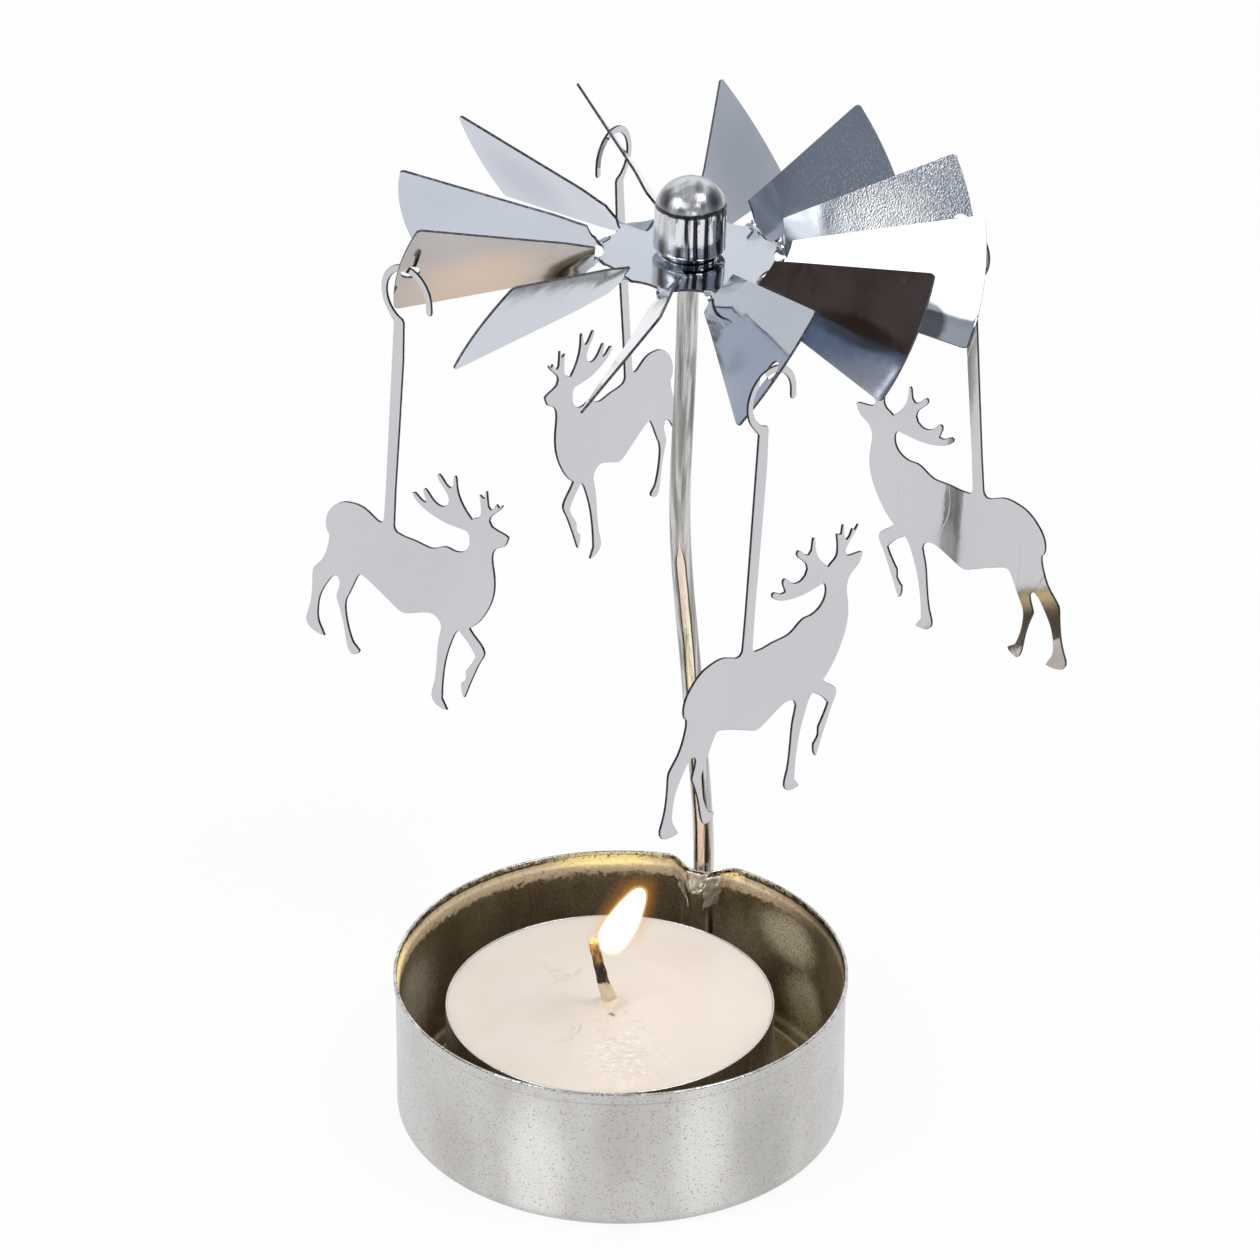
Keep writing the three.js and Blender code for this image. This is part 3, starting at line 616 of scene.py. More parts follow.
wheel = {
    "centre": (7.4, 17.3, 100.7), "lean": 2.1, "leanTowards": 30,
    "radius": 33.2, "sheet": 0.3, "corner": 0.6, "waist": 9.45, "hubHole": 3.5,
    "blades": 12, "firstBlade": -75.2, "pitch": 56.5, "lowerAngle": 10.55, "upperAngle": 15.65,
    "neckStart": 9.8, "neckLength": 1.2, "neckHalf": 1.0, "rootLength": 0.7, "twistLength": 5.0, "twistLeft": 4.0,
    "holeRadius": 1.1, "holeFromTip": 1.45, "holeRise": 1.0, "holeEvery": 3,
    "neckColumns": 12, "waistColumns": 14, "ringRows": 7, "ripple": 0.05, "bow": 0.04,
    # blades that lie a little steeper, and blades with a curled lower edge
    "steeper": {9: 2.5},
    "curled": {2: 0.75, 1: 0.12},
    "finish": {
        "colour": (0.53, 0.57, 0.64), "otherColour": (0.56, 0.60, 0.67), "patch": 12, "roughness": 0.05,
        "roughSpread": 0.06, "wave": 6, "waveDepth": 0.04, "grain": 0.20, "grainDepth": 0.045,
        "fleckSize": 0.5, "fleckFrom": 0.72, "fleckShare": 0.35, "fleckColour": (0.2, 0.2, 0.22),
        "scratchSize": 7, "scratchWidth": 0.004, "scratchStretch": (1, 0.2, 0.5), "scratchTurn": (0.4, 0.9, 0.3),
        "scratchRough": 0.06, "scratchDepth": 0.0012,
        # painted reflections, highlights and shade on the blades: middle, reach, share, raggedness, colour
        "paintedLightPatches": [
            ((-15.5, 11.3, 98.5), (14, 6.5, 10), 1.0, 0.1, (0.75, 0.69, 0.65)),
            ((-5.5, 14.6, 99.6), (5, 2.4, 4), 0.55, 0.45, (0.20, 0.17, 0.15)),
            ((30.0, 24.0, 102.0), (8.5, 5, 8), 0.95, 0.5, (0.96, 0.97, 0.98)),
            ((20.0, 20.8, 102.0), (6, 3.5, 7), 0.7, 1.2, (0.26, 0.28, 0.31)),
            ((28.5, -3.9, 97.0), (5, 5, 5), 0.9, 1.6, (1.0, 1.0, 1.0)),
            ((25.0, -3.5, 96.9), (7, 7, 2.2), 0.9, 0.9, (0.92, 0.88, 0.85)),
            ((25.2, -1.4, 100.4), (8.5, 8.5, 1.7), 1.8, 0.4, (0.27, 0.265, 0.265)),
            ((33.6, 8.0, 97.0), (2.5, 3.5, 2.6), 2.5, 0.3, (0.15, 0.16, 0.18)),
            ((14.5, -8.0, 96.5), (6, 8, 3.5), 0.8, 0.3, (0.66, 0.66, 0.70)),
            ((-11, 36, 101), (9, 9, 8), 0.9, 0.2, (0.45, 0.48, 0.56)),
            ((14, 41, 101), (8, 12, 8), 0.8, 0.2, (0.47, 0.51, 0.57)),
        ],
        # grain with painted white sparkle of reflections: middle, reach, share, raggedness
        "grainAndSparkleAt": ((32, 33, 101), (16, 16, 20), 1.0, 0.3), "paintedSparkleShare": 0.55, "speckColour": (1.0, 1.0, 1.0),
    },
    "edge": {"colour": (0.06, 0.06, 0.07), "roughness": 0.3},
}
wheelLean = math.radians(wheel["lean"])
wheelAxis = Matrix.Rotation(math.radians(wheel["leanTowards"]), 3, "Z") @ Vector(
    (math.sin(wheelLean), 0, math.cos(wheelLean)))
wheelTurn = Vector((0, 0, 1)).rotation_difference(wheelAxis).to_matrix()
wheelCentre = Vector(wheel["centre"])
bladeRoot = wheel["neckStart"] + wheel["neckLength"]


def onWheel(points):
    return [tuple(wheelCentre + wheelTurn @ Vector(point)) for point in points]


def bladeMiddle(blade):
    return math.radians(wheel["firstBlade"] + 360 / wheel["blades"] * blade)


def twistAt(radial):
    first = ease((radial - wheel["neckStart"]) / wheel["neckLength"]) * (wheel["pitch"] - wheel["twistLeft"])
    return math.radians(first + ease((radial - bladeRoot) / wheel["twistLength"]) * wheel["twistLeft"])


def bladeEdges(radial):
    rootPart = clamp01((radial - bladeRoot) / wheel["rootLength"])
    into = max(0.0, radial - (wheel["radius"] - wheel["corner"]))
    rounding = wheel["corner"] - math.sqrt(max(0.0, wheel["corner"] ** 2 - into ** 2))
    neck = wheel["neckHalf"] / radial
    low, high = (neck + (math.radians(angle) - neck) * rootPart - rounding / radial
                 for angle in (wheel["lowerAngle"], wheel["upperAngle"]))
    return -low, high


def hubColumns():
    # turn and reach of the points on the hub plate's rim: straight at the necks, a curved waist between them
    start, steps = wheel["neckStart"], wheel["waistColumns"]
    sector = 2 * math.pi / wheel["blades"]
    half = wheel["neckHalf"] / start
    pull = 2 * wheel["waist"] - start
    a, b, c = (Vector(polar(reach, turn, 0))
               for reach, turn in ((start, half), (pull, sector / 2), (start, sector - half)))
    columns = []
    for blade in range(wheel["blades"]):
        middle = bladeMiddle(blade)
        for k in range(wheel["neckColumns"] + 1):
            columns.append((middle - half + 2 * half * k / wheel["neckColumns"], start))
        for part in (k / steps for k in range(1, steps)):
            spot = a * (1 - part) ** 2 + b * 2 * part * (1 - part) + c * part ** 2
            columns.append((middle + math.atan2(spot.y, spot.x), spot.length))
    return columns


def bladeRadials():
    # where the rows across a blade stand, from its neck to its rounded tip
    tip = wheel["radius"] - wheel["corner"]
    stops = [(wheel["neckStart"],), (bladeRoot,), (bladeRoot + wheel["rootLength"],),
             (bladeRoot + wheel["rootLength"] + wheel["twistLength"],), (tip,)]
    radials = []
    for a, b, steps in zip(stops, stops[1:], (10, 3, 10, 12)):
        radials += [radial for radial, in between(a, b, steps)]
    return radials + [tip + wheel["corner"] * part for part in (0.3, 0.55, 0.75, 0.9, 0.98)]


def wheelSurface():
    # middle surface of the stamped sheet: hub plate and blades share their points
    points = []
    rows = []
    columns = hubColumns()
    for ring in range(wheel["ringRows"] + 1):
        rows.append(list(range(len(points), len(points) + len(columns))))
        for turn, reach in columns:
            radial = wheel["hubHole"] + (reach - wheel["hubHole"]) * ring / wheel["ringRows"]
            x, y, _ = polar(radial, turn, 0)
            ripple = wheel["ripple"] * wobble(x * 0.4, y * 0.4, 1.7)
            points.append((x, y, ripple * ease((radial - 4) / 3) * ease((9.2 - radial) / 1.5)))
    faces, _ = joinRows(rows)
    plateRim = rows[-1]
    perBlade = len(columns) // wheel["blades"]
    across = [k / wheel["neckColumns"] for k in range(wheel["neckColumns"] + 1)]
    for blade in range(wheel["blades"]):
        turn = Matrix.Rotation(bladeMiddle(blade), 3, "Z")
        shake = random.Random(blade * 17 + 3)
        bow = wheel["bow"] * shake.uniform(-1, 1)
        sag = wheel["bow"] * shake.uniform(-1, 1)
        rows = [plateRim[blade * perBlade:blade * perBlade + len(across)]]
        for radial in bladeRadials():
            low, high = bladeEdges(radial)
            steeper = wheel["steeper"].get(blade, 0) * ease((radial - wheel["neckStart"]) / 3)
            twist = twistAt(radial) + math.radians(steeper)
            flat = ease((radial - bladeRoot - wheel["rootLength"]) / 8)
            rows.append(list(range(len(points), len(points) + len(across))))
            for share in across:
                angle = low + (high - low) * share
                side = radial * math.sin(angle)
                lift = flat * (bow * (2 * share - 1) ** 2 + sag * ((radial - 22) / 11) ** 2 - (bow + sag) / 2)
                lift += flat * wheel["curled"].get(blade, 0) * clamp01((0.3 - share) / 0.3) ** 2
                spot = Vector((radial * math.cos(angle), side * math.cos(twist) - lift * math.sin(twist),
                               side * math.sin(twist) + lift * math.cos(twist)))
                points.append(tuple(turn @ spot))
        faces += joinRows(rows, closedRound=False)[0]
    return points, faces


def drillHook(piece, blade, finish):
    # cuts the hole of a pendant's hook through a blade
    pitch = math.radians(wheel["pitch"])
    rise = wheel["holeRise"]
    spot = Vector((wheel["radius"] - wheel["holeFromTip"], rise * math.cos(pitch), rise * math.sin(pitch)))
    turn = Matrix.Rotation(bladeMiddle(blade), 3, "Z")
    lean = Matrix.Rotation(pitch, 3, "X")
    hole = wheel["holeRadius"]
    body, faces, _ = turnedBody([(0, -1), (hole, -1), (hole, 1), (0, 1)], evenTurns(40))
    drill = addPiece(f"drill_{blade}", onWheel([turn @ (spot + lean @ Vector(p)) for p in body]), faces, [finish])
    cut = piece.modifiers.new("hole", "BOOLEAN")
    cut.object = drill
    cut.operation = "DIFFERENCE"
    cut.solver = "EXACT"
    return drill


def buildWheel():
    points, faces = wheelSurface()
    edge = edgeFinish("cut edge of bright sheet", wheel["edge"])
    finishes = [metalFinish("bright sheet", wheel["finish"]), edge]
    piece = addPiece("fan_sheet", onWheel(points), faces, finishes, sharp=60)
    solid = addSolidify(piece, wheel["sheet"])
    solid.use_even_offset = True
    solid.material_offset_rim = 1
    drills = [drillHook(piece, blade, edge) for blade in range(0, wheel["blades"], wheel["holeEvery"])]
    bakeModifiers(piece)
    for drill in drills:
        bpy.data.objects.remove(drill)
    piece.data.set_sharp_from_angle(angle=math.radians(40))
    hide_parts("fan_wheel")
    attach(piece, "rotor")


buildWheel()
print("fan wheel made")


# hub cap

cap = {
    "radius": 4.066, "sheet": 0.3, "foot": 0.85, "barrel": 4.3, "crimp": 0.05, "neck": 3.2,
    "flange": 4.1, "flangeTop": -0.45, "petals": 9, "petalDrop": 0.75, "dent": 0.03, "crimpDent": 0.06,
    "finish": {
        "colour": (0.76, 0.77, 0.79), "streak": (0.045, 0.045, 0.055), "domeStreak": (0.20, 0.20, 0.22),
        "dome": (0.62, 0.63, 0.65), "crimpHeight": 107.2,
        "roughness": 0.06, "roughTo": 0.16, "domeRough": 0.10, "sideRough": 0.16,
        # painted dark reflections as wedges on the dome: middle, reach, share, raggedness
        "wedges": [((4.5, 15.4, 108.7), (1.4, 2.6, 2.4), 0.75, 0.5),
                   ((10.2, 15.4, 108.5), (1.4, 2.6, 2.5), 0.8, 0.5),
                   ((8.4, 16.0, 109.3), (0.7, 2.0, 1.6), 0.5, 0.5)],
    },
}


def capFinish():
    # chrome: painted dark reflections as upright streaks, most of them on one side, a dome painted darker with
    # painted dark reflections, and painted shade in the crimp under the dome
    look = cap["finish"]
    finish = Finish("chrome cap with painted reflections")
    thin = finish.noise(0.66, 2.0, (1, 1, 0.03), distortion=0.3)
    wide = finish.noise(1.7, 1.0, (1, 1, 0.05))
    side = finish.ramp(finish.part("X"), 5.6, 6.6, 0.12, 1.0)
    # painted dark reflections as upright streaks, most of them on one side
    streak = finish.times(finish.ramp(thin, 0.44, 0.52), side)
    barrel = finish.mix(streak, look["colour"], look["streak"])
    dome = finish.mix(finish.ramp(wide, 0.50, 0.62, 0.0, 0.5), look["dome"], look["domeStreak"])
    for wedge in look["wedges"]:
        dome = finish.mix(finish.patch(*wedge), dome, look["streak"])
    height = finish.ragged(finish.part("Z"), 0.5, 1.1, 3.0)
    onDome = finish.ramp(height, look["crimpHeight"], look["crimpHeight"] + 0.3)
    # painted shade in the crimp under the dome
    crimp = finish.ramp(finish.apart(height, look["crimpHeight"]), 0.16, 0.30, 0.95, 0.0)
    colour = finish.mix(crimp, finish.mix(onDome, barrel, dome), look["streak"])
    rough = finish.ramp(wide, 0.3, 0.7, look["roughness"], look["roughTo"])
    rough = finish.plus(rough, finish.times(onDome, look["domeRough"]))
    rough = finish.plus(rough, finish.ramp(finish.part("X"), 5.5, 6.1, look["sideRough"], 0.0))
    finish.set(Base_Color=colour, Metallic=1.0, Roughness=rough)
    finish.bump((thin, 0.03), (finish.noise(0.25, 3.0), 0.006))
    return finish.material


def buildCap():
    radius, sheet, foot, neck = (cap[k] for k in ("radius", "sheet", "foot", "neck"))
    flange, flangeTop = cap["flange"], cap["flangeTop"]
    flangeFoot = flangeTop - sheet
    domeBase = foot + cap["barrel"]
    crimp = (radius - cap["crimp"], domeBase - 0.25)
    waist = (radius - 0.03, foot + 1.2)
    profile = [
        (0, domeBase + radius), *arc((0, domeBase), radius, 88, 8, 22), (radius, domeBase + 0.2),
        crimp, *between(crimp, waist, 8), *between(waist, (radius, foot + 0.45), 3),
        *arc((radius - 0.35, foot + 0.35), 0.35, 0, -90, 5)[1:], (neck + 0.1, foot),
        (neck, foot - 0.1), (neck, 0.3), (neck, -0.2), (neck, flangeTop + 0.05),
        (neck + 0.1, flangeTop), *between((neck + 0.1, flangeTop), (flange, flangeTop), 5),
        (flange - 0.02, flangeFoot), *between((flange, flangeFoot), (neck - sheet, flangeFoot), 5),
        (neck - sheet, foot + sheet), (radius - sheet, foot + 0.65),
        *arc((0, domeBase), radius - sheet, 0, 85, 14), (0, domeBase + radius - sheet)]

    def dent(point, turn):
        x, y, height = point
        reach = math.hypot(x, y)
        if flangeTop + 0.02 < height < domeBase + 3.4:
            near = math.exp(-((height - domeBase + 0.1) / 0.5) ** 2)
            push = cap["dent"] * wobble(*polar(1.2, turn, height * 0.15))
            push += cap["crimpDent"] * near * wobble(*polar(2, turn, height))
            reach += push * ease(reach - 2.5)
        if height <= flangeTop + 0.01 and reach > neck + 0.2:
            petal = 0.5 + 0.5 * math.cos(turn * cap["petals"] + 1.3 * math.sin(turn * 2))
            out = ease((reach - neck) / (flange - neck))
            height -= cap["petalDrop"] * out * petal ** 2
            reach -= 0.25 * out * petal
        return polar(reach, turn, height)

    points, faces, _ = turnedBody(profile, evenTurns(144), dent)
    piece = addPiece("cap_shell", onWheel(points), faces, [capFinish()], sharp=45)
    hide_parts("hub_cap")
    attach(piece, "rotor")


buildCap()
print("hub cap made")


# post

post = {
    "wire": 1.2, "seatRadius": 25.13, "bottom": 3.5, "leanFrom": 22.15, "kinkHeight": 65, "kinkOffset": -2.05,
    "needle": 5.0, "needleSteps": 14, "point": 0.08, "pivot": 8.62, "sides": 40,
    "finish": {
        "colour": (0.26, 0.255, 0.245), "otherColour": (0.64, 0.63, 0.61), "patch": 0.55, "stretch": (1, 1, 0.015),
        "roughness": 0.16, "wave": 3, "waveDepth": 0.02, "grain": 0.25, "grainDepth": 0.004,
        "fleckSize": 0.4, "fleckFrom": 0.64, "fleckShare": 0.4, "fleckColour": (0.18, 0.15, 0.12),
        "scratchSize": 0.9, "scratchWidth": 0.03, "scratchStretch": (1, 1, 0.015), "scratchRough": 0.15,
        "scratchDepth": 0.02,
    },
    # painted warm highlight up the front of the wire, between painted dark borders
    "streak": {"x": 9.41, "from": 24, "slope": 0.066, "bendFrom": 46, "bend": 0.26, "top": 64, "fade": 4,
               "half": 0.46, "sway": 0.16, "colour": (0.94, 0.79, 0.66), "border": (0.07, 0.05, 0.035),
               "core": (1.0, 0.95, 0.78), "coreAt": ((8.0, 20.5, 47), (6, 9, 9), 1.0, 0.3)},
}


def addPaintedHighlight(finish, colour):
    look = post["streak"]
    top = look["top"]
    height = finish.part("Z")
    drift = finish.times(finish.most(finish.less(height, look["from"]), 0.0), look["slope"])
    drift = finish.plus(drift, finish.ramp(height, look["bendFrom"], top, 0.0, look["bend"]))
    aside = finish.less(finish.plus(finish.part("X"), drift), look["x"])
    aside = finish.plus(aside, finish.swing(finish.noise(4, 1.0), look["sway"]))
    half = finish.ramp(height, top, top - look["fade"], 0.02, look["half"])
    share = finish.calc("DIVIDE", finish.calc("ABSOLUTE", aside), half)
    below = finish.ramp(height, top - 0.5, top, 1.0, 0.0)
    border = finish.times(finish.ramp(share, 1.20, 1.55, 0.92, 0.0), below)
    inner = finish.times(finish.ramp(share, 0.85, 1.05, 1.0, 0.0), below)
    # brighter painted highlight in the streak's core
    warm = finish.mix(finish.patch(*look["coreAt"]), look["colour"], look["core"])
    return finish.mix(inner, finish.mix(border, colour, look["border"]), warm)


def buildPost():
    wire = post["wire"]
    seat = Vector(polar(post["seatRadius"], grooveTurn, post["bottom"]))
    leanStart = Vector((seat.x, seat.y, post["leanFrom"]))
    tip = wheelCentre + wheelAxis * post["pivot"]
    kink = leanStart.lerp(tip, (post["kinkHeight"] - leanStart.z) / (tip.z - leanStart.z))
    kink.x += post["kinkOffset"]
    needleFoot = tip - (tip - kink).normalized() * post["needle"]
    stops = [seat, seat.lerp(leanStart, 0.5), leanStart, leanStart.lerp(kink, 0.5), kink,
             kink.lerp(needleFoot, 0.5), needleFoot]
    route = smoothRoute(stops, 22)
    radii = [wire * 0.93] + [wire] * (len(route) - 1)
    for part in (k / post["needleSteps"] for k in range(1, post["needleSteps"] + 1)):
        route.append(needleFoot.lerp(tip, part))
        radii.append(wire + (post["point"] - wire) * part ** 0.92)
    points, faces = tubeBody(route, radii, post["sides"])
    piece = addPiece("post_wire", points, faces, [metalFinish("drawn wire", post["finish"], addPaintedHighlight)])
    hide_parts("post")
    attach(piece, "base")


buildPost()
print("post made")


# reindeer

deer = {
    "nodes": ["reindeer_front", "reindeer_right", "reindeer_back", "reindeer_left"],
    "bodies": ["pendant_front", "pendant_right", "pendant_back", "pendant_left"],
    "cornerAngle": 34, "steps": 4, "shortSide": 0.25, "burr": 0.045,
    "finish": {
        "colour": (0.565, 0.565, 0.60), "otherColour": (0.585, 0.585, 0.615), "patch": 14, "roughness": 0.035,
        "roughSpread": 0.05, "wave": 9, "waveDepth": 0.035, "grain": 0.5, "grainDepth": 0.0012,
        "fleckSize": 0.6, "fleckFrom": 0.74, "fleckShare": 0.3, "fleckColour": (0.3, 0.3, 0.3),
        "scratchSize": 8, "scratchWidth": 0.003, "scratchStretch": (1, 1, 0.3), "scratchTurn": (0.3, 0.5, 0),
        "scratchRough": 0.12, "scratchDepth": 0.003,
    },
    "edge": {"colour": (0.035, 0.033, 0.03), "roughness": 0.32},
}


def outlineOf(node):
    # outline of a flat CAD sheet on its middle plane, in order, with the sheet's direction and half thickness
    work = bmesh.new()
    work.from_mesh(node.data)
    bmesh.ops.remove_doubles(work, verts=work.verts, dist=1e-7)
    work.faces.ensure_lookup_table()
    work.normal_update()
    facing = max(work.faces, key=lambda face: face.calc_area()).normal.copy()
    flat = {face for face in work.faces if face.normal.dot(facing) > 0.99}
    ahead = {}
    for face in flat:
        for loop in face.loops:
            if not any(other in flat for other in loop.edge.link_faces if other is not face):
                ahead[loop.vert] = loop.link_loop_next.vert
    start = min(ahead, key=lambda vert: tuple(vert.co))
    ring = [start]
    while ahead[ring[-1]] is not start:
        ring.append(ahead[ring[-1]])
    depths = [vert.co.dot(facing) for vert in work.verts]
    half = (max(depths) - min(depths)) / 2
    outline = [(vert.co - facing * half) / mm for vert in ring]
    work.free()
    return outline, facing, half / mm


def smoothOutline(outline):
    # rounder outline through the same points; real corners stay
    count = len(outline)
    corners = []
    for k in range(count):
        before = outline[k] - outline[k - 1]
        after = outline[(k + 1) % count] - outline[k]
        corners.append(before.angle(after) > math.radians(deer["cornerAngle"]))
    done = []
    for k in range(count):
        p1, p2 = outline[k], outline[(k + 1) % count]
        p0 = p1 * 2 - p2 if corners[k] else outline[k - 1]
        p3 = p2 * 2 - p1 if corners[(k + 1) % count] else outline[(k + 2) % count]
        done += curveSpan(p0, p1, p2, p3, deer["steps"] if (p2 - p1).length > deer["shortSide"] else 2)
    return done


def buildDeer():
    finishes = [metalFinish("pendant sheet", deer["finish"]), edgeFinish("cut edge of pendant", deer["edge"])]
    burr = deer["burr"]
    for nodeName, body in zip(deer["nodes"], deer["bodies"]):
        outline, facing, half = outlineOf(frame["nodes"][nodeName])
        ring = smoothOutline(outline)
        count = len(ring)
        inner = []
        for k in range(count):
            ahead = (ring[(k + 1) % count] - ring[k - 1]).normalized()
            inner.append(ring[k] + facing.cross(ahead) * burr)
        layers = [(inner, half), (ring, half - burr), (ring, burr - half), (inner, -half)]
        points = [tuple(spot + facing * depth) for loop, depth in layers for spot in loop]
        faces, _ = joinRows([range(layer * count, (layer + 1) * count) for layer in range(len(layers))])
        finishOf = [1] * len(faces)
        triangles = tessellate_polygon([inner])
        for base in (0, 3 * count):
            faces += [[base + c for c in triangle] for triangle in triangles]
            finishOf += [0] * len(triangles)
        piece = addPiece(nodeName.replace("reindeer", "deer"), points, faces, finishes, finishOf, 30)
        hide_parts(nodeName)
        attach(piece, body)


buildDeer()
print("reindeer made")


# tealight

tealight = {
    "offset": -1.25, "radius": 18.95, "floor": 0.4, "height": 13.2, "sheet": 0.25, "corner": 0.8,
    "waxTop": 13.35, "flutes": 60, "flute": 0.02, "oval": 0.02,
    "can": {
        "colour": (0.78, 0.77, 0.76), "otherColour": (0.70, 0.69, 0.67), "patch": 3, "stretch": (1, 1, 0.2),
        "roughness": 0.22, "roughSpread": 0.1, "wave": 2.5, "waveDepth": 0.05, "grainDepth": 0.01,
        "fleckSize": 0.4, "fleckFrom": 0.7, "fleckShare": 0.3, "fleckColour": (0.3, 0.28, 0.25),
        "scratchSize": 3, "scratchStretch": (1, 1, 0.1), "scratchRough": 0.1,
    },
}


def buildCan():
    radius, sheet, corner, floor = (tealight[k] for k in ("radius", "sheet", "corner", "floor"))
    top = floor + tealight["height"]
    inner = radius - sheet
    innerCorner = corner - sheet
    half = sheet / 2
    profile = [(0, floor), (radius - 4, floor), *arc((radius - corner, floor + corner), corner, -90, 0, 6),
               *between((radius, floor + corner), (radius, top - half), 14),
               *arc((inner + half, top - half), half, 0, 180, 6)[1:],
               *between((inner, top - half), (inner, floor + corner), 6),
               *arc((inner - innerCorner, floor + sheet + innerCorner), innerCorner, 0, -90, 4)[1:],
               (0, floor + sheet)]

    def flute(point, turn):
        x, y, height = point
        reach = math.hypot(x, y)
        if reach > inner - 0.05:
            fade = ease((top - height) / 2) * ease((height - 1.2) / 1.5)
            reach -= tealight["flute"] * fade * (0.5 + 0.5 * math.cos(turn * tealight["flutes"]))
            reach += tealight["oval"] * math.sin(3 * turn + 1)
        return polar(reach, turn, height, tealight["offset"])

    points, faces, _ = turnedBody(profile, evenTurns(480), flute)
    piece = addPiece("tealight_shell", points, faces, [metalFinish("thin aluminium", tealight["can"])], sharp=50)
    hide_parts("tealight_cup")
    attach(piece, "tealight")


buildCan()
print("tealight cup made")


# wax

wax = {
    "rings": 120, "segments": 360, "edgeRise": 0.16, "sink": 0.12, "sag": 0.05, "mound": 1.5, "moundReach": 1.15,
    # raised curls and scratches: start, end, bow sideways, height, half width, from the wick's foot
    "strokes": [
        ((-8.3, 8.9), (-7.6, 7.9), 0.3, 0.32, 0.16), ((-6.9, 6.9), (-5.6, 7.3), 0.5, 0.34, 0.17),
        ((-6.4, 6.0), (-4.8, 6.2), -0.6, 0.36, 0.18), ((-6.4, 4.6), (-5.2, 5.2), 0.3, 0.26, 0.15),
        ((-5.0, 5.6), (-3.4, 7.6), -0.3, 0.26, 0.14), ((-5.9, 6.7), (-5.0, 5.9), 0.2, 0.30, 0.15),
        ((-3.5, -4.6), (-4.3, -6.6), 0.25, 0.36, 0.16), ((-4.3, -6.6), (-4.9, -7.6), 0.2, -0.34, 0.16),
        ((-3.9, -4.4), (-4.7, -5.9), 0.2, 0.28, 0.14), ((-5.0, -6.2), (-6.2, -8.0), 0.1, 0.16, 0.12),
        ((9.0, -0.6), (9.5, -1.4), 0.1, 0.24, 0.14), ((-12.6, -2.0), (-12.3, -2.5), 0.1, -0.2, 0.14),
        ((-1.6, -3.2), (-0.4, -3.7), 0.2, 0.24, 0.15), ((1.5, -4.6), (3.4, -3.6), 0.5, 0.22, 0.16),
        ((3.0, -4.6), (4.0, -5.4), 0.4, 0.22, 0.15), ((-1.3, -8.4), (0.6, -7.0), 0.5, 0.2, 0.16),
    ],
    "strokeHeight": 0.85, "strokeWidth": 1.05,
    # middle, height, half width
    "lumps": [(-1.0, -0.6, 0.45, 0.42), (0.9, -0.9, 0.55, 0.42), (0.3, -1.5, 0.6, 0.45), (1.4, -0.2, 0.4, 0.5),
              (-1.3, 0.4, 0.3, 0.5), (1.6, -1.7, 0.3, 0.3), (-0.5, -2.4, 0.2, 0.3), (0.5, -2.3, -0.3, 0.3)],
    "colour": (0.865, 0.772, 0.688), "deepColour": (0.835, 0.735, 0.64), "speckColour": (0.35, 0.22, 0.12),
    # molten coat round the wick's foot, and painted shade of a small dark mark before it: middle from the foot,
    # reach, share, raggedness
    "coat": ((0, -0.5), (1.9, 2.3, 4), 0.75, 0.5), "coatColour": (0.88, 0.78, 0.56),
    "paintedShadeMark": ((0.2, -2.2), (0.6, 0.24, 4), 0.8, 0.5, 0.3), "paintedShadeMarkColour": (0.16, 0.14, 0.12),
    # rippled pool that mirrors the flame, with painted glints of it: middle, half width, half length
    "pool": (1.4, -10.5, 5.6, 8.0), "ripple": 0.035, "glintColour": (1.0, 0.98, 0.90),
    "roughness": 0.28, "poolRoughness": 0.12,
}


def waxHeight(x, y):
    # height over the wax's level at points measured from the wick's foot
    reach = np.hypot(x, y)
    inward = tealight["radius"] - tealight["sheet"] - reach
    rise = wax["edgeRise"] * np.exp(-(inward / 0.8)) - wax["sink"] * np.clip(inward / 1.2, 0, 1)
    rise = rise + wax["sag"] * np.sin(x * 0.31 + 1) * np.cos(y * 0.27) * np.clip(inward / 3, 0, 1)
    rise = rise + wax["mound"] * np.exp(-(reach / wax["moundReach"]) ** 1.6)
    for cx, cy, high, wide in wax["lumps"]:
        rise = rise + high * np.exp(-(((x - cx) ** 2 + (y - cy) ** 2) / wide ** 2))
    for start, end, bow, high, wide in wax["strokes"]:
        start, end = np.array(start), np.array(end)
        length = np.linalg.norm(end - start)
        ahead = (end - start) / length
        along = np.clip((x - start[0]) * ahead[0] + (y - start[1]) * ahead[1], 0, length)
        bend = bow * np.sin(np.pi * along / length)
        dx = x - start[0] - ahead[0] * along + ahead[1] * bend
        dy = y - start[1] - ahead[1] * along - ahead[0] * bend
        away = (dx ** 2 + dy ** 2) / (wax["strokeWidth"] * wide) ** 2
        rise = rise + wax["strokeHeight"] * high * np.exp(-away)
    poolX, poolY, wide, deep = wax["pool"]
    pool = np.exp(-(((x - poolX) / wide) ** 2 + ((y - poolY) / deep) ** 2))
    ripple = np.sin(x * 2.3 + 1.3 * np.sin(y * 1.1)) * np.cos(y * 3.3 + 1.7 * np.sin(x * 0.9))
    return rise + wax["ripple"] * pool * ripple


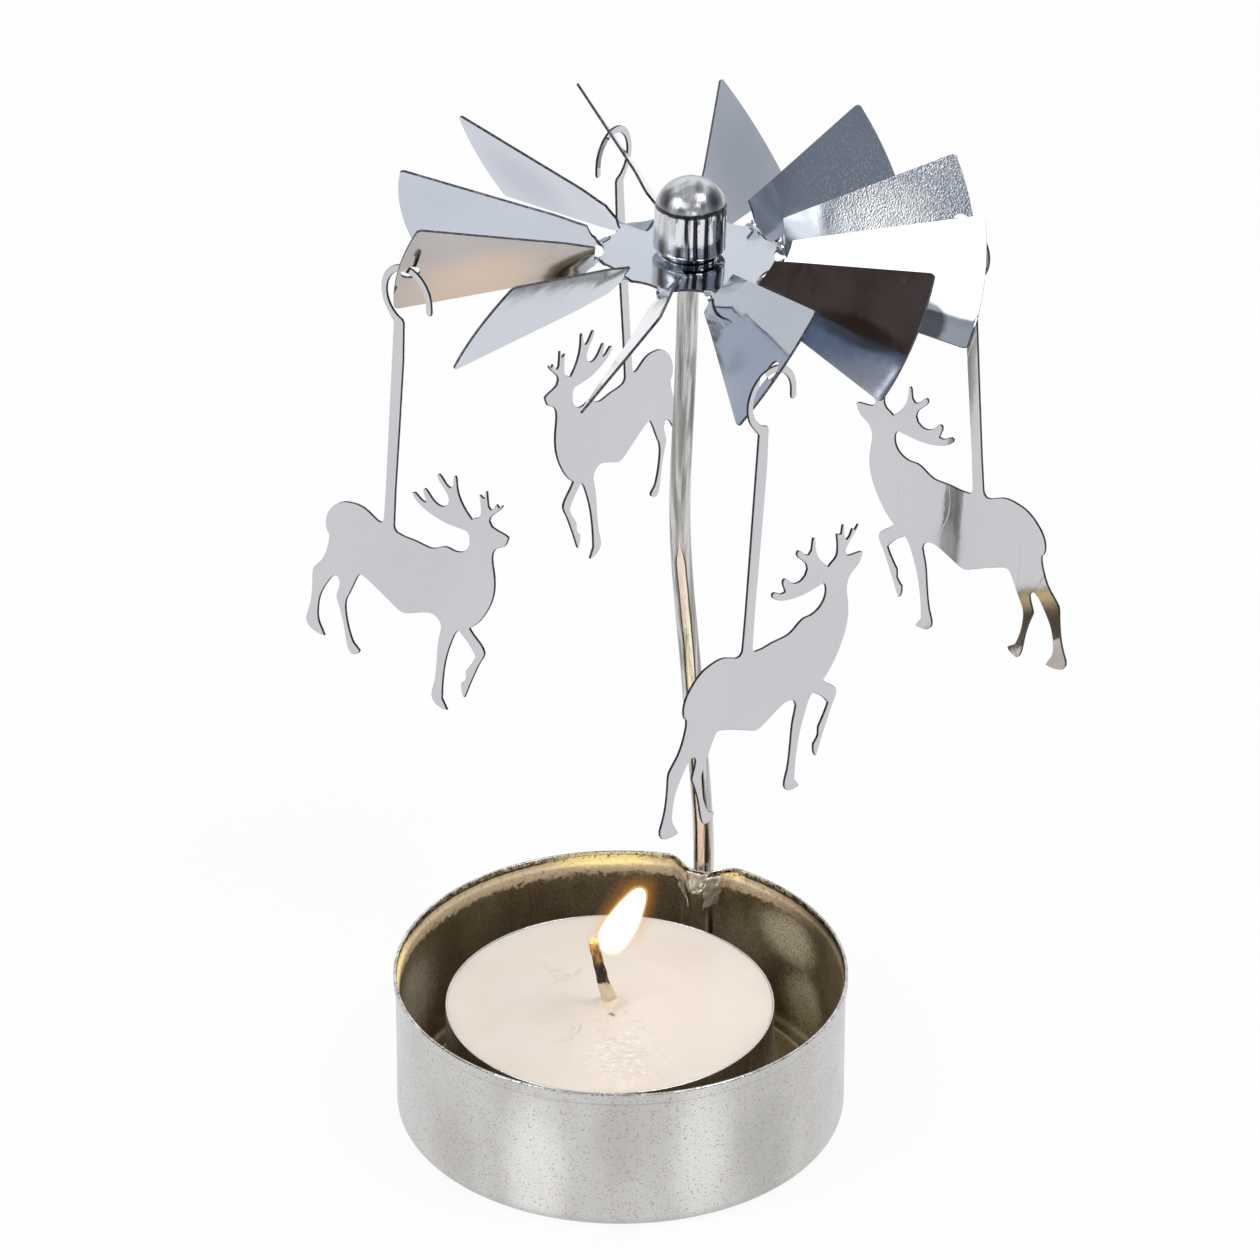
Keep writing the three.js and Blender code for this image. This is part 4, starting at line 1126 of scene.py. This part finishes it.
def waxFinish():
    finish = Finish("candle wax")
    colour = finish.mix(finish.spots(9, 2.0, 0.35, 0.7), wax["colour"], wax["deepColour"])
    colour = finish.mix(finish.spots(1.1, 1.0, 0.80, 0.83, 0.55), colour, wax["speckColour"])
    height = tealight["waxTop"] + 0.6

    def onWax(middle, *rest):
        return finish.patch((middle[0] + tealight["offset"], middle[1], height), *rest)

    colour = finish.mix(onWax(*wax["coat"]), colour, wax["coatColour"])
    colour = finish.mix(onWax(*wax["paintedShadeMark"]), colour, wax["paintedShadeMarkColour"])
    poolX, poolY, wide, deep = wax["pool"]
    pool = onWax((poolX, poolY), (wide, deep, 60), 1.0, 0.7)
    # painted glints of the flame in the pool
    glint = finish.spots(0.75, 3.0, 0.53, 0.60, 0.9, stretch=(1, 1.7, 1), distortion=1.2)
    colour = finish.mix(finish.times(glint, pool), colour, wax["glintColour"])
    finish.set(Base_Color=colour, Roughness=finish.ramp(pool, 0.0, 1.0, wax["roughness"], wax["poolRoughness"]),
               Subsurface_Weight=0.2, Subsurface_Radius=(0.002, 0.0012, 0.0008), Subsurface_Scale=1.0, IOR=1.44)
    marks = finish.lines(4, 0.012, (1, 0.3, 1), (0, 0, 0.8), 0.8)
    ripples = finish.swing(finish.noise(1.0, 2.0, (1, 1.8, 1), distortion=1.2), pool)
    finish.bump((finish.noise(2.2, 4.0), 0.03), (finish.noise(0.5, 3.0), 0.006), (marks, 0.01), (ripples, 0.24))
    return finish.material


def buildWax():
    offset, top = tealight["offset"], tealight["waxTop"]
    edge = tealight["radius"] - tealight["sheet"] - 0.01
    foot = 0.75
    turns = np.array(evenTurns(wax["segments"]))
    points = [(offset, 0, top + float(waxHeight(np.array(0.0), np.array(0.0))))]
    rings = []
    for k in range(1, wax["rings"] + 1):
        reach = edge * (k / wax["rings"]) ** 0.85
        x, y = reach * np.cos(turns), reach * np.sin(turns)
        rings.append(zip(x + offset, y, top + waxHeight(x, y)))
    for height, reach in ((top - 1.5, edge), (top - 6, edge), (1.6, edge), (foot, edge - 0.8)):
        rings.append([polar(reach, turn, height, offset) for turn in turns])
    rows = [[0]]
    for ring in rings:
        rows.append(range(len(points), len(points) + len(turns)))
        points += list(ring)
    rows.append([len(points)])
    points.append((offset, 0, foot))
    piece = addPiece("wax_fill", points, joinRows(rows)[0], [waxFinish()], sharp=70)
    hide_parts("candle_wax", "wick_holder")
    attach(piece, "tealight")


buildWax()
print("wax made")


# wick

wick = {
    "foot": 1.6, "radius": 0.74, "rise": 8.8, "lean": -2.0, "kinkRise": 2.4, "kinkLean": -0.6,
    "strands": 3, "strandDepth": 0.10, "lump": 0.12, "taper": 0.25, "swelling": 0.16, "swellingAt": 1.3,
    "char": (0.016, 0.010, 0.007), "scorch": (0.22, 0.10, 0.03), "coat": (0.84, 0.72, 0.52),
    "glowDark": (0.16, 0.06, 0.008), "glow": (0.50, 0.26, 0.04), "ember": (1.0, 0.80, 0.35),
    # where the charred and the glowing part begin and are full, over the wax
    "burnt": (3.7, 4.1), "lit": (6.4, 8.6), "emberAt": (9.1, 9.6),
}


def wickFinish():
    finish = Finish("burnt wick")
    height = finish.ragged(finish.part("Z"), 1.6, 0.9, 2.0)
    burnt, lit, ember = (finish.ramp(height, *(tealight["waxTop"] + rise for rise in wick[k]))
                         for k in ("burnt", "lit", "emberAt"))
    strands = finish.noise(0.35, 2.0, (1, 1, 0.35))
    dark = finish.mix(finish.ramp(strands, 0.50, 0.68), wick["char"], wick["scorch"])
    glow = finish.mix(finish.ramp(strands, 0.4, 0.65), wick["glowDark"], wick["glow"])
    glow = finish.mix(ember, glow, wick["ember"])
    finish.set(Base_Color=finish.mix(burnt, wick["coat"], dark), Roughness=finish.ramp(strands, 0.3, 0.7, 0.45, 0.8),
               Emission_Color=finish.mix(lit, (0, 0, 0), glow), Emission_Strength=1.0)
    finish.bump((strands, 0.12))
    return finish.material


def buildWick():
    top, x, foot = tealight["waxTop"], tealight["offset"], wick["foot"]
    rise, lean, kinkRise, kinkLean = (wick[k] for k in ("rise", "lean", "kinkRise", "kinkLean"))
    stops = [(x, 0, foot), (x, 0, (foot + top) / 2), (x, 0, top + 0.3), (x + kinkLean, 0, top + kinkRise),
             (x + (kinkLean + lean) / 2, 0, top + (kinkRise + rise) / 2), (x + lean, 0, top + rise)]
    route = smoothRoute(stops, 26)
    radii = []
    for spot in route:
        above = spot.z - top
        thick = wick["radius"] * (0.98 - wick["taper"] * clamp01(above / rise))
        radii.append(thick + wick["swelling"] * math.exp(-((above - wick["swellingAt"]) / 1.1) ** 2))
    radii[-1] *= 0.55
    radii[-2] *= 0.85

    def strand(step, turn):
        height = route[step].z
        rope = abs(math.sin(turn * wick["strands"] / 2 + height * 1.5))
        return wick["strandDepth"] * (rope - 0.6) + wick["lump"] * wobble(*polar(1, turn, height * 1.1))

    points, faces = tubeBody(route, radii, 30, strand)
    piece = addPiece("wick_cord", points, faces, [wickFinish()], sharp=70)
    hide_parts("candle_wick")
    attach(piece, "tealight")


buildWick()
print("wick made")


# flame

flame = {
    # height, middle along X, half width
    "shape": [(19.6, -1.0, 0.02), (20.1, -1.0, 0.75), (21.0, -0.95, 1.45), (22.3, -0.75, 1.98), (23.3, -0.35, 2.08),
              (24.3, 0.1, 2.03), (25.4, 0.6, 1.86), (26.5, 1.1, 1.62), (27.5, 1.6, 1.32), (28.3, 1.95, 0.98),
              (28.8, 2.1, 0.62), (29.05, 2.18, 0.02)],
    "flat": 0.82,
    # name, growth in mm, how solid, colour, strength
    "shells": [
        ("flame_haze", 1.50, 0.028, (1.0, 0.40, 0.08), 0.9),
        ("flame_veil", 1.10, 0.032, (1.0, 0.40, 0.08), 0.9),
        ("flame_glow", 0.75, 0.040, (1.0, 0.42, 0.08), 0.9),
        ("flame_halo", 0.42, 0.060, (1.0, 0.50, 0.10), 1.0),
        ("flame_edge", 0.18, 0.14, (1.0, 0.74, 0.30), 1.6),
        ("flame_core", -0.05, 1.0, (1.0, 0.95, 0.82), 2.4),
    ],
    # enough for a ray through the fronts and backs of all shells
    "bounces": 24,
    "footColour": (1.0, 0.86, 0.55),
    "lamp": {"energy": 0.0004, "colour": (1.0, 0.66, 0.32), "radius": 0.9, "place": (0.8, 0, 26)},
}


def flameBody(growth):
    points = []
    rows = []
    shape = flame["shape"]
    foot, tip = shape[0][0], shape[-1][0]
    for height, middle, half in shape:
        part = (height - foot) / (tip - foot)
        reach = max(0.02, half + growth) if 0 < part < 1 else 0.02
        z = height + growth * (2 * part - 1)
        rows.append(range(len(points), len(points) + 40))
        for turn in evenTurns(40):
            points.append((middle + reach * math.cos(turn), reach * flame["flat"] * math.sin(turn), z))
    rows = [[len(points)], *rows, [len(points) + 1]]
    points += [(shape[0][1], 0, foot - growth - 0.01), (shape[-1][1], 0, tip + growth + 0.01)]
    return points, joinRows(rows)[0]


def flameFinish(name, solid, colour, strength):
    # glowing gas, paler and clearer at its foot
    finish = Finish(name)
    lick = finish.ragged(finish.part("Z"), 0.9, 1.8, 2.0)
    foot = flame["shape"][0][0]
    hot = finish.ramp(lick, foot + 0.8, foot + 3.4)
    clear = finish.ramp(lick, foot + 0.6, foot + 4.4, 0.0, solid)
    finish.set(Base_Color=(0, 0, 0, 1), Roughness=1.0, Specular_IOR_Level=0.0, Alpha=clear,
               Emission_Color=finish.mix(hot, flame["footColour"], colour), Emission_Strength=strength)
    return finish.material


def addLamp(name, kind, energy, colour, place):
    lamp = bpy.data.lights.new(name, kind)
    lamp.energy = energy
    lamp.color = colour
    holder = bpy.data.objects.new(name, lamp)
    holder.location = place
    bpy.context.scene.collection.objects.link(holder)
    return holder


def buildFlame():
    bpy.context.scene.cycles.transparent_max_bounces = flame["bounces"]
    for name, growth, solid, colour, strength in flame["shells"]:
        points, faces = flameBody(growth)
        finish = flameFinish(name.replace("_", " "), solid, colour, strength)
        piece = addPiece(name, points, faces, [finish], sharp=80)
        smooth = piece.modifiers.new("smooth", "SUBSURF")
        smooth.levels = smooth.render_levels = 1
        bakeModifiers(piece)
        piece.visible_shadow = False
        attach(piece, "tealight")
    look = flame["lamp"]
    lamp = addLamp("candle light", "POINT", look["energy"], look["colour"], Vector(look["place"]) * mm)
    lamp.data.shadow_soft_size = look["radius"] * mm
    lamp.parent = frame["bodies"]["tealight"]


buildFlame()
print("flame made")


# studio

studio = {
    "floorRadius": 2200, "floorHeight": -0.05, "floorColour": (0.93, 0.93, 0.93), "floorShare": 0.91,
    "backLow": (0.545, 0.56, 0.58), "backHigh": (1.03, 1.04, 1.05), "backFrom": -0.06, "backTo": 0.36,
    "frontTone": (0.38, 0.39, 0.41), "frontFrom": -0.25, "frontTo": 0.15,
    "topTone": (0.52, 0.53, 0.55), "topFrom": 0.80, "topTo": 0.93,
    # cards and flags: azimuth from straight back to the right, elevation, half size in degrees, edge, tone, grain
    "cards": [
        (-45, 3, 24, 10.0, (0.82, 0.83, 0.84), 0.0),
        (-92, 30, 25, 3.0, (0.075, 0.05, 0.042), 0.5),
        (89, 24, 23, 4.0, (0.26, 0.285, 0.325), 0.35),
        (-146, 27, 9, 3.0, (0.05, 0.055, 0.07), 0.3),
        (136, 37, 10, 4.0, (0.05, 0.055, 0.07), 0.3),
        (-152, 43, 11, 1.0, (2.2, 2.2, 2.2), 0.0),
        (151, 43, 7.0, 2.0, (2.1, 2.1, 2.1), 0.0),
        (-170, 19, 5, 1.0, (1.6, 1.6, 1.6), 0.0),
        (169, 17, 7, 1.0, (1.6, 1.6, 1.6), 0.0),
    ],
    # name, energy, colour, place and size in metres; both face a spot over the cup
    "lamps": [("key light", 3.6, (1.0, 0.985, 0.96), (0.52, -0.21, 1.06), 0.40),
              ("fill light", 3.2, (0.94, 0.97, 1.0), (-0.7, -0.35, 0.8), 0.5)],
    "lampTarget": (0, 0, 0.05),
    # place in millimetres, angles in radians, focal length in pixels of the photo
    "camera": {"eye": (0, -598.72, 400.06), "pitch": 0.5131, "heading": 0.0016, "roll": 0.0027,
               "focus": 6182.57, "pixels": 1260, "sensor": 36},
}


def directionOf(azimuth, elevation):
    a, e = math.radians(azimuth), math.radians(elevation)
    return (math.sin(a) * math.cos(e), math.cos(a) * math.cos(e), math.sin(e))


def buildWorld():
    world = bpy.data.worlds.new("studio")
    bpy.context.scene.world = world
    world.use_nodes = True
    nodes = Nodes(world.node_tree)
    nodes.tree.nodes.clear()
    around = nodes.add("ShaderNodeTexCoord").outputs["Generated"]
    split = nodes.add("ShaderNodeSeparateXYZ", {"Vector": around}).outputs
    back = nodes.mix(nodes.ramp(split["Z"], studio["backFrom"], studio["backTo"]),
                     studio["backLow"], studio["backHigh"])
    tone = nodes.mix(nodes.ramp(split["Y"], studio["frontFrom"], studio["frontTo"]), studio["frontTone"], back)
    tone = nodes.mix(nodes.ramp(split["Z"], studio["topFrom"], studio["topTo"]), tone, studio["topTone"])
    grain = nodes.add("ShaderNodeTexNoise", {"Vector": around, "Scale": 34.0, "Detail": 3.0}).outputs["Fac"]
    grain = nodes.add("ShaderNodeMapRange", {"Value": grain, "From Min": 0.35, "From Max": 0.65}).outputs["Result"]
    for azimuth, elevation, half, edge, colour, mottle in studio["cards"]:
        inputs = {0: around, 1: directionOf(azimuth, elevation)}
        near = nodes.add("ShaderNodeVectorMath", inputs, operation="DOT_PRODUCT").outputs["Value"]
        share = nodes.ramp(near, math.cos(math.radians(half + edge)), math.cos(math.radians(half - edge)))
        if mottle:
            colour = nodes.mix(grain, [c * (1 - mottle) for c in colour], [c * (1 + mottle) for c in colour])
        tone = nodes.mix(share, tone, colour)
    seen = nodes.add("ShaderNodeLightPath").outputs["Is Camera Ray"]
    lit = nodes.add("ShaderNodeBackground", {"Color": tone, "Strength": 1.0}).outputs[0]
    white = nodes.add("ShaderNodeBackground", {"Color": (1, 1, 1, 1), "Strength": 1.0}).outputs[0]
    both = nodes.add("ShaderNodeMixShader", {0: seen, 1: lit, 2: white}).outputs[0]
    nodes.add("ShaderNodeOutputWorld", {"Surface": both})


def buildFloor():
    finish = Finish("floor")
    path = finish.add("ShaderNodeLightPath").outputs
    seen = finish.most(path["Is Camera Ray"], path["Is Glossy Ray"])
    seen = finish.most(seen, path["Is Transmission Ray"])
    matt = finish.add("ShaderNodeBsdfDiffuse", {"Color": (*studio["floorColour"], 1)}).outputs[0]
    glow = finish.add("ShaderNodeEmission", {"Color": (1, 1, 1, 1), "Strength": 1.0}).outputs[0]
    both = finish.add("ShaderNodeMixShader", {0: finish.times(seen, studio["floorShare"]), 1: matt, 2: glow})
    finish.give(finish.output.inputs["Surface"], both.outputs[0])
    finish.tree.nodes.remove(finish.shader)
    points = [polar(studio["floorRadius"], turn, studio["floorHeight"]) for turn in evenTurns(96)]
    floor = addPiece("floor", points, [list(range(len(points)))], [finish.material])


def buildLamps():
    for name, energy, colour, place, size in studio["lamps"]:
        lamp = addLamp(name, "AREA", energy, colour, place)
        lamp.data.shape = "DISK"
        lamp.data.size = size
        ahead = Vector(studio["lampTarget"]) - Vector(place)
        lamp.rotation_euler = ahead.to_track_quat("-Z", "Y").to_euler()


def buildCamera():
    look = studio["camera"]
    eye = Vector(look["eye"]) * mm
    pitch, heading, roll = look["pitch"], look["heading"], look["roll"]
    ahead = Vector((math.sin(heading) * math.cos(pitch), math.cos(heading) * math.cos(pitch), -math.sin(pitch)))
    right = Vector((math.cos(heading), -math.sin(heading), 0))
    up = right.cross(ahead)
    turnedRight = right * math.cos(roll) + up * math.sin(roll)
    turnedUp = up * math.cos(roll) - right * math.sin(roll)
    lens = bpy.data.cameras.new("camera")
    lens.sensor_width = look["sensor"]
    lens.lens = look["focus"] / look["pixels"] * look["sensor"]
    lens.clip_start = 0.01
    lens.clip_end = 20
    camera = bpy.data.objects.new("camera", lens)
    camera.matrix_world = Matrix([*zip(turnedRight, turnedUp, -ahead, eye), (0, 0, 0, 1)])
    bpy.context.scene.collection.objects.link(camera)
    bpy.context.scene.camera = camera


buildWorld()
buildFloor()
buildLamps()
buildCamera()
bpy.context.scene.view_settings.view_transform = "Standard"
print("studio made")
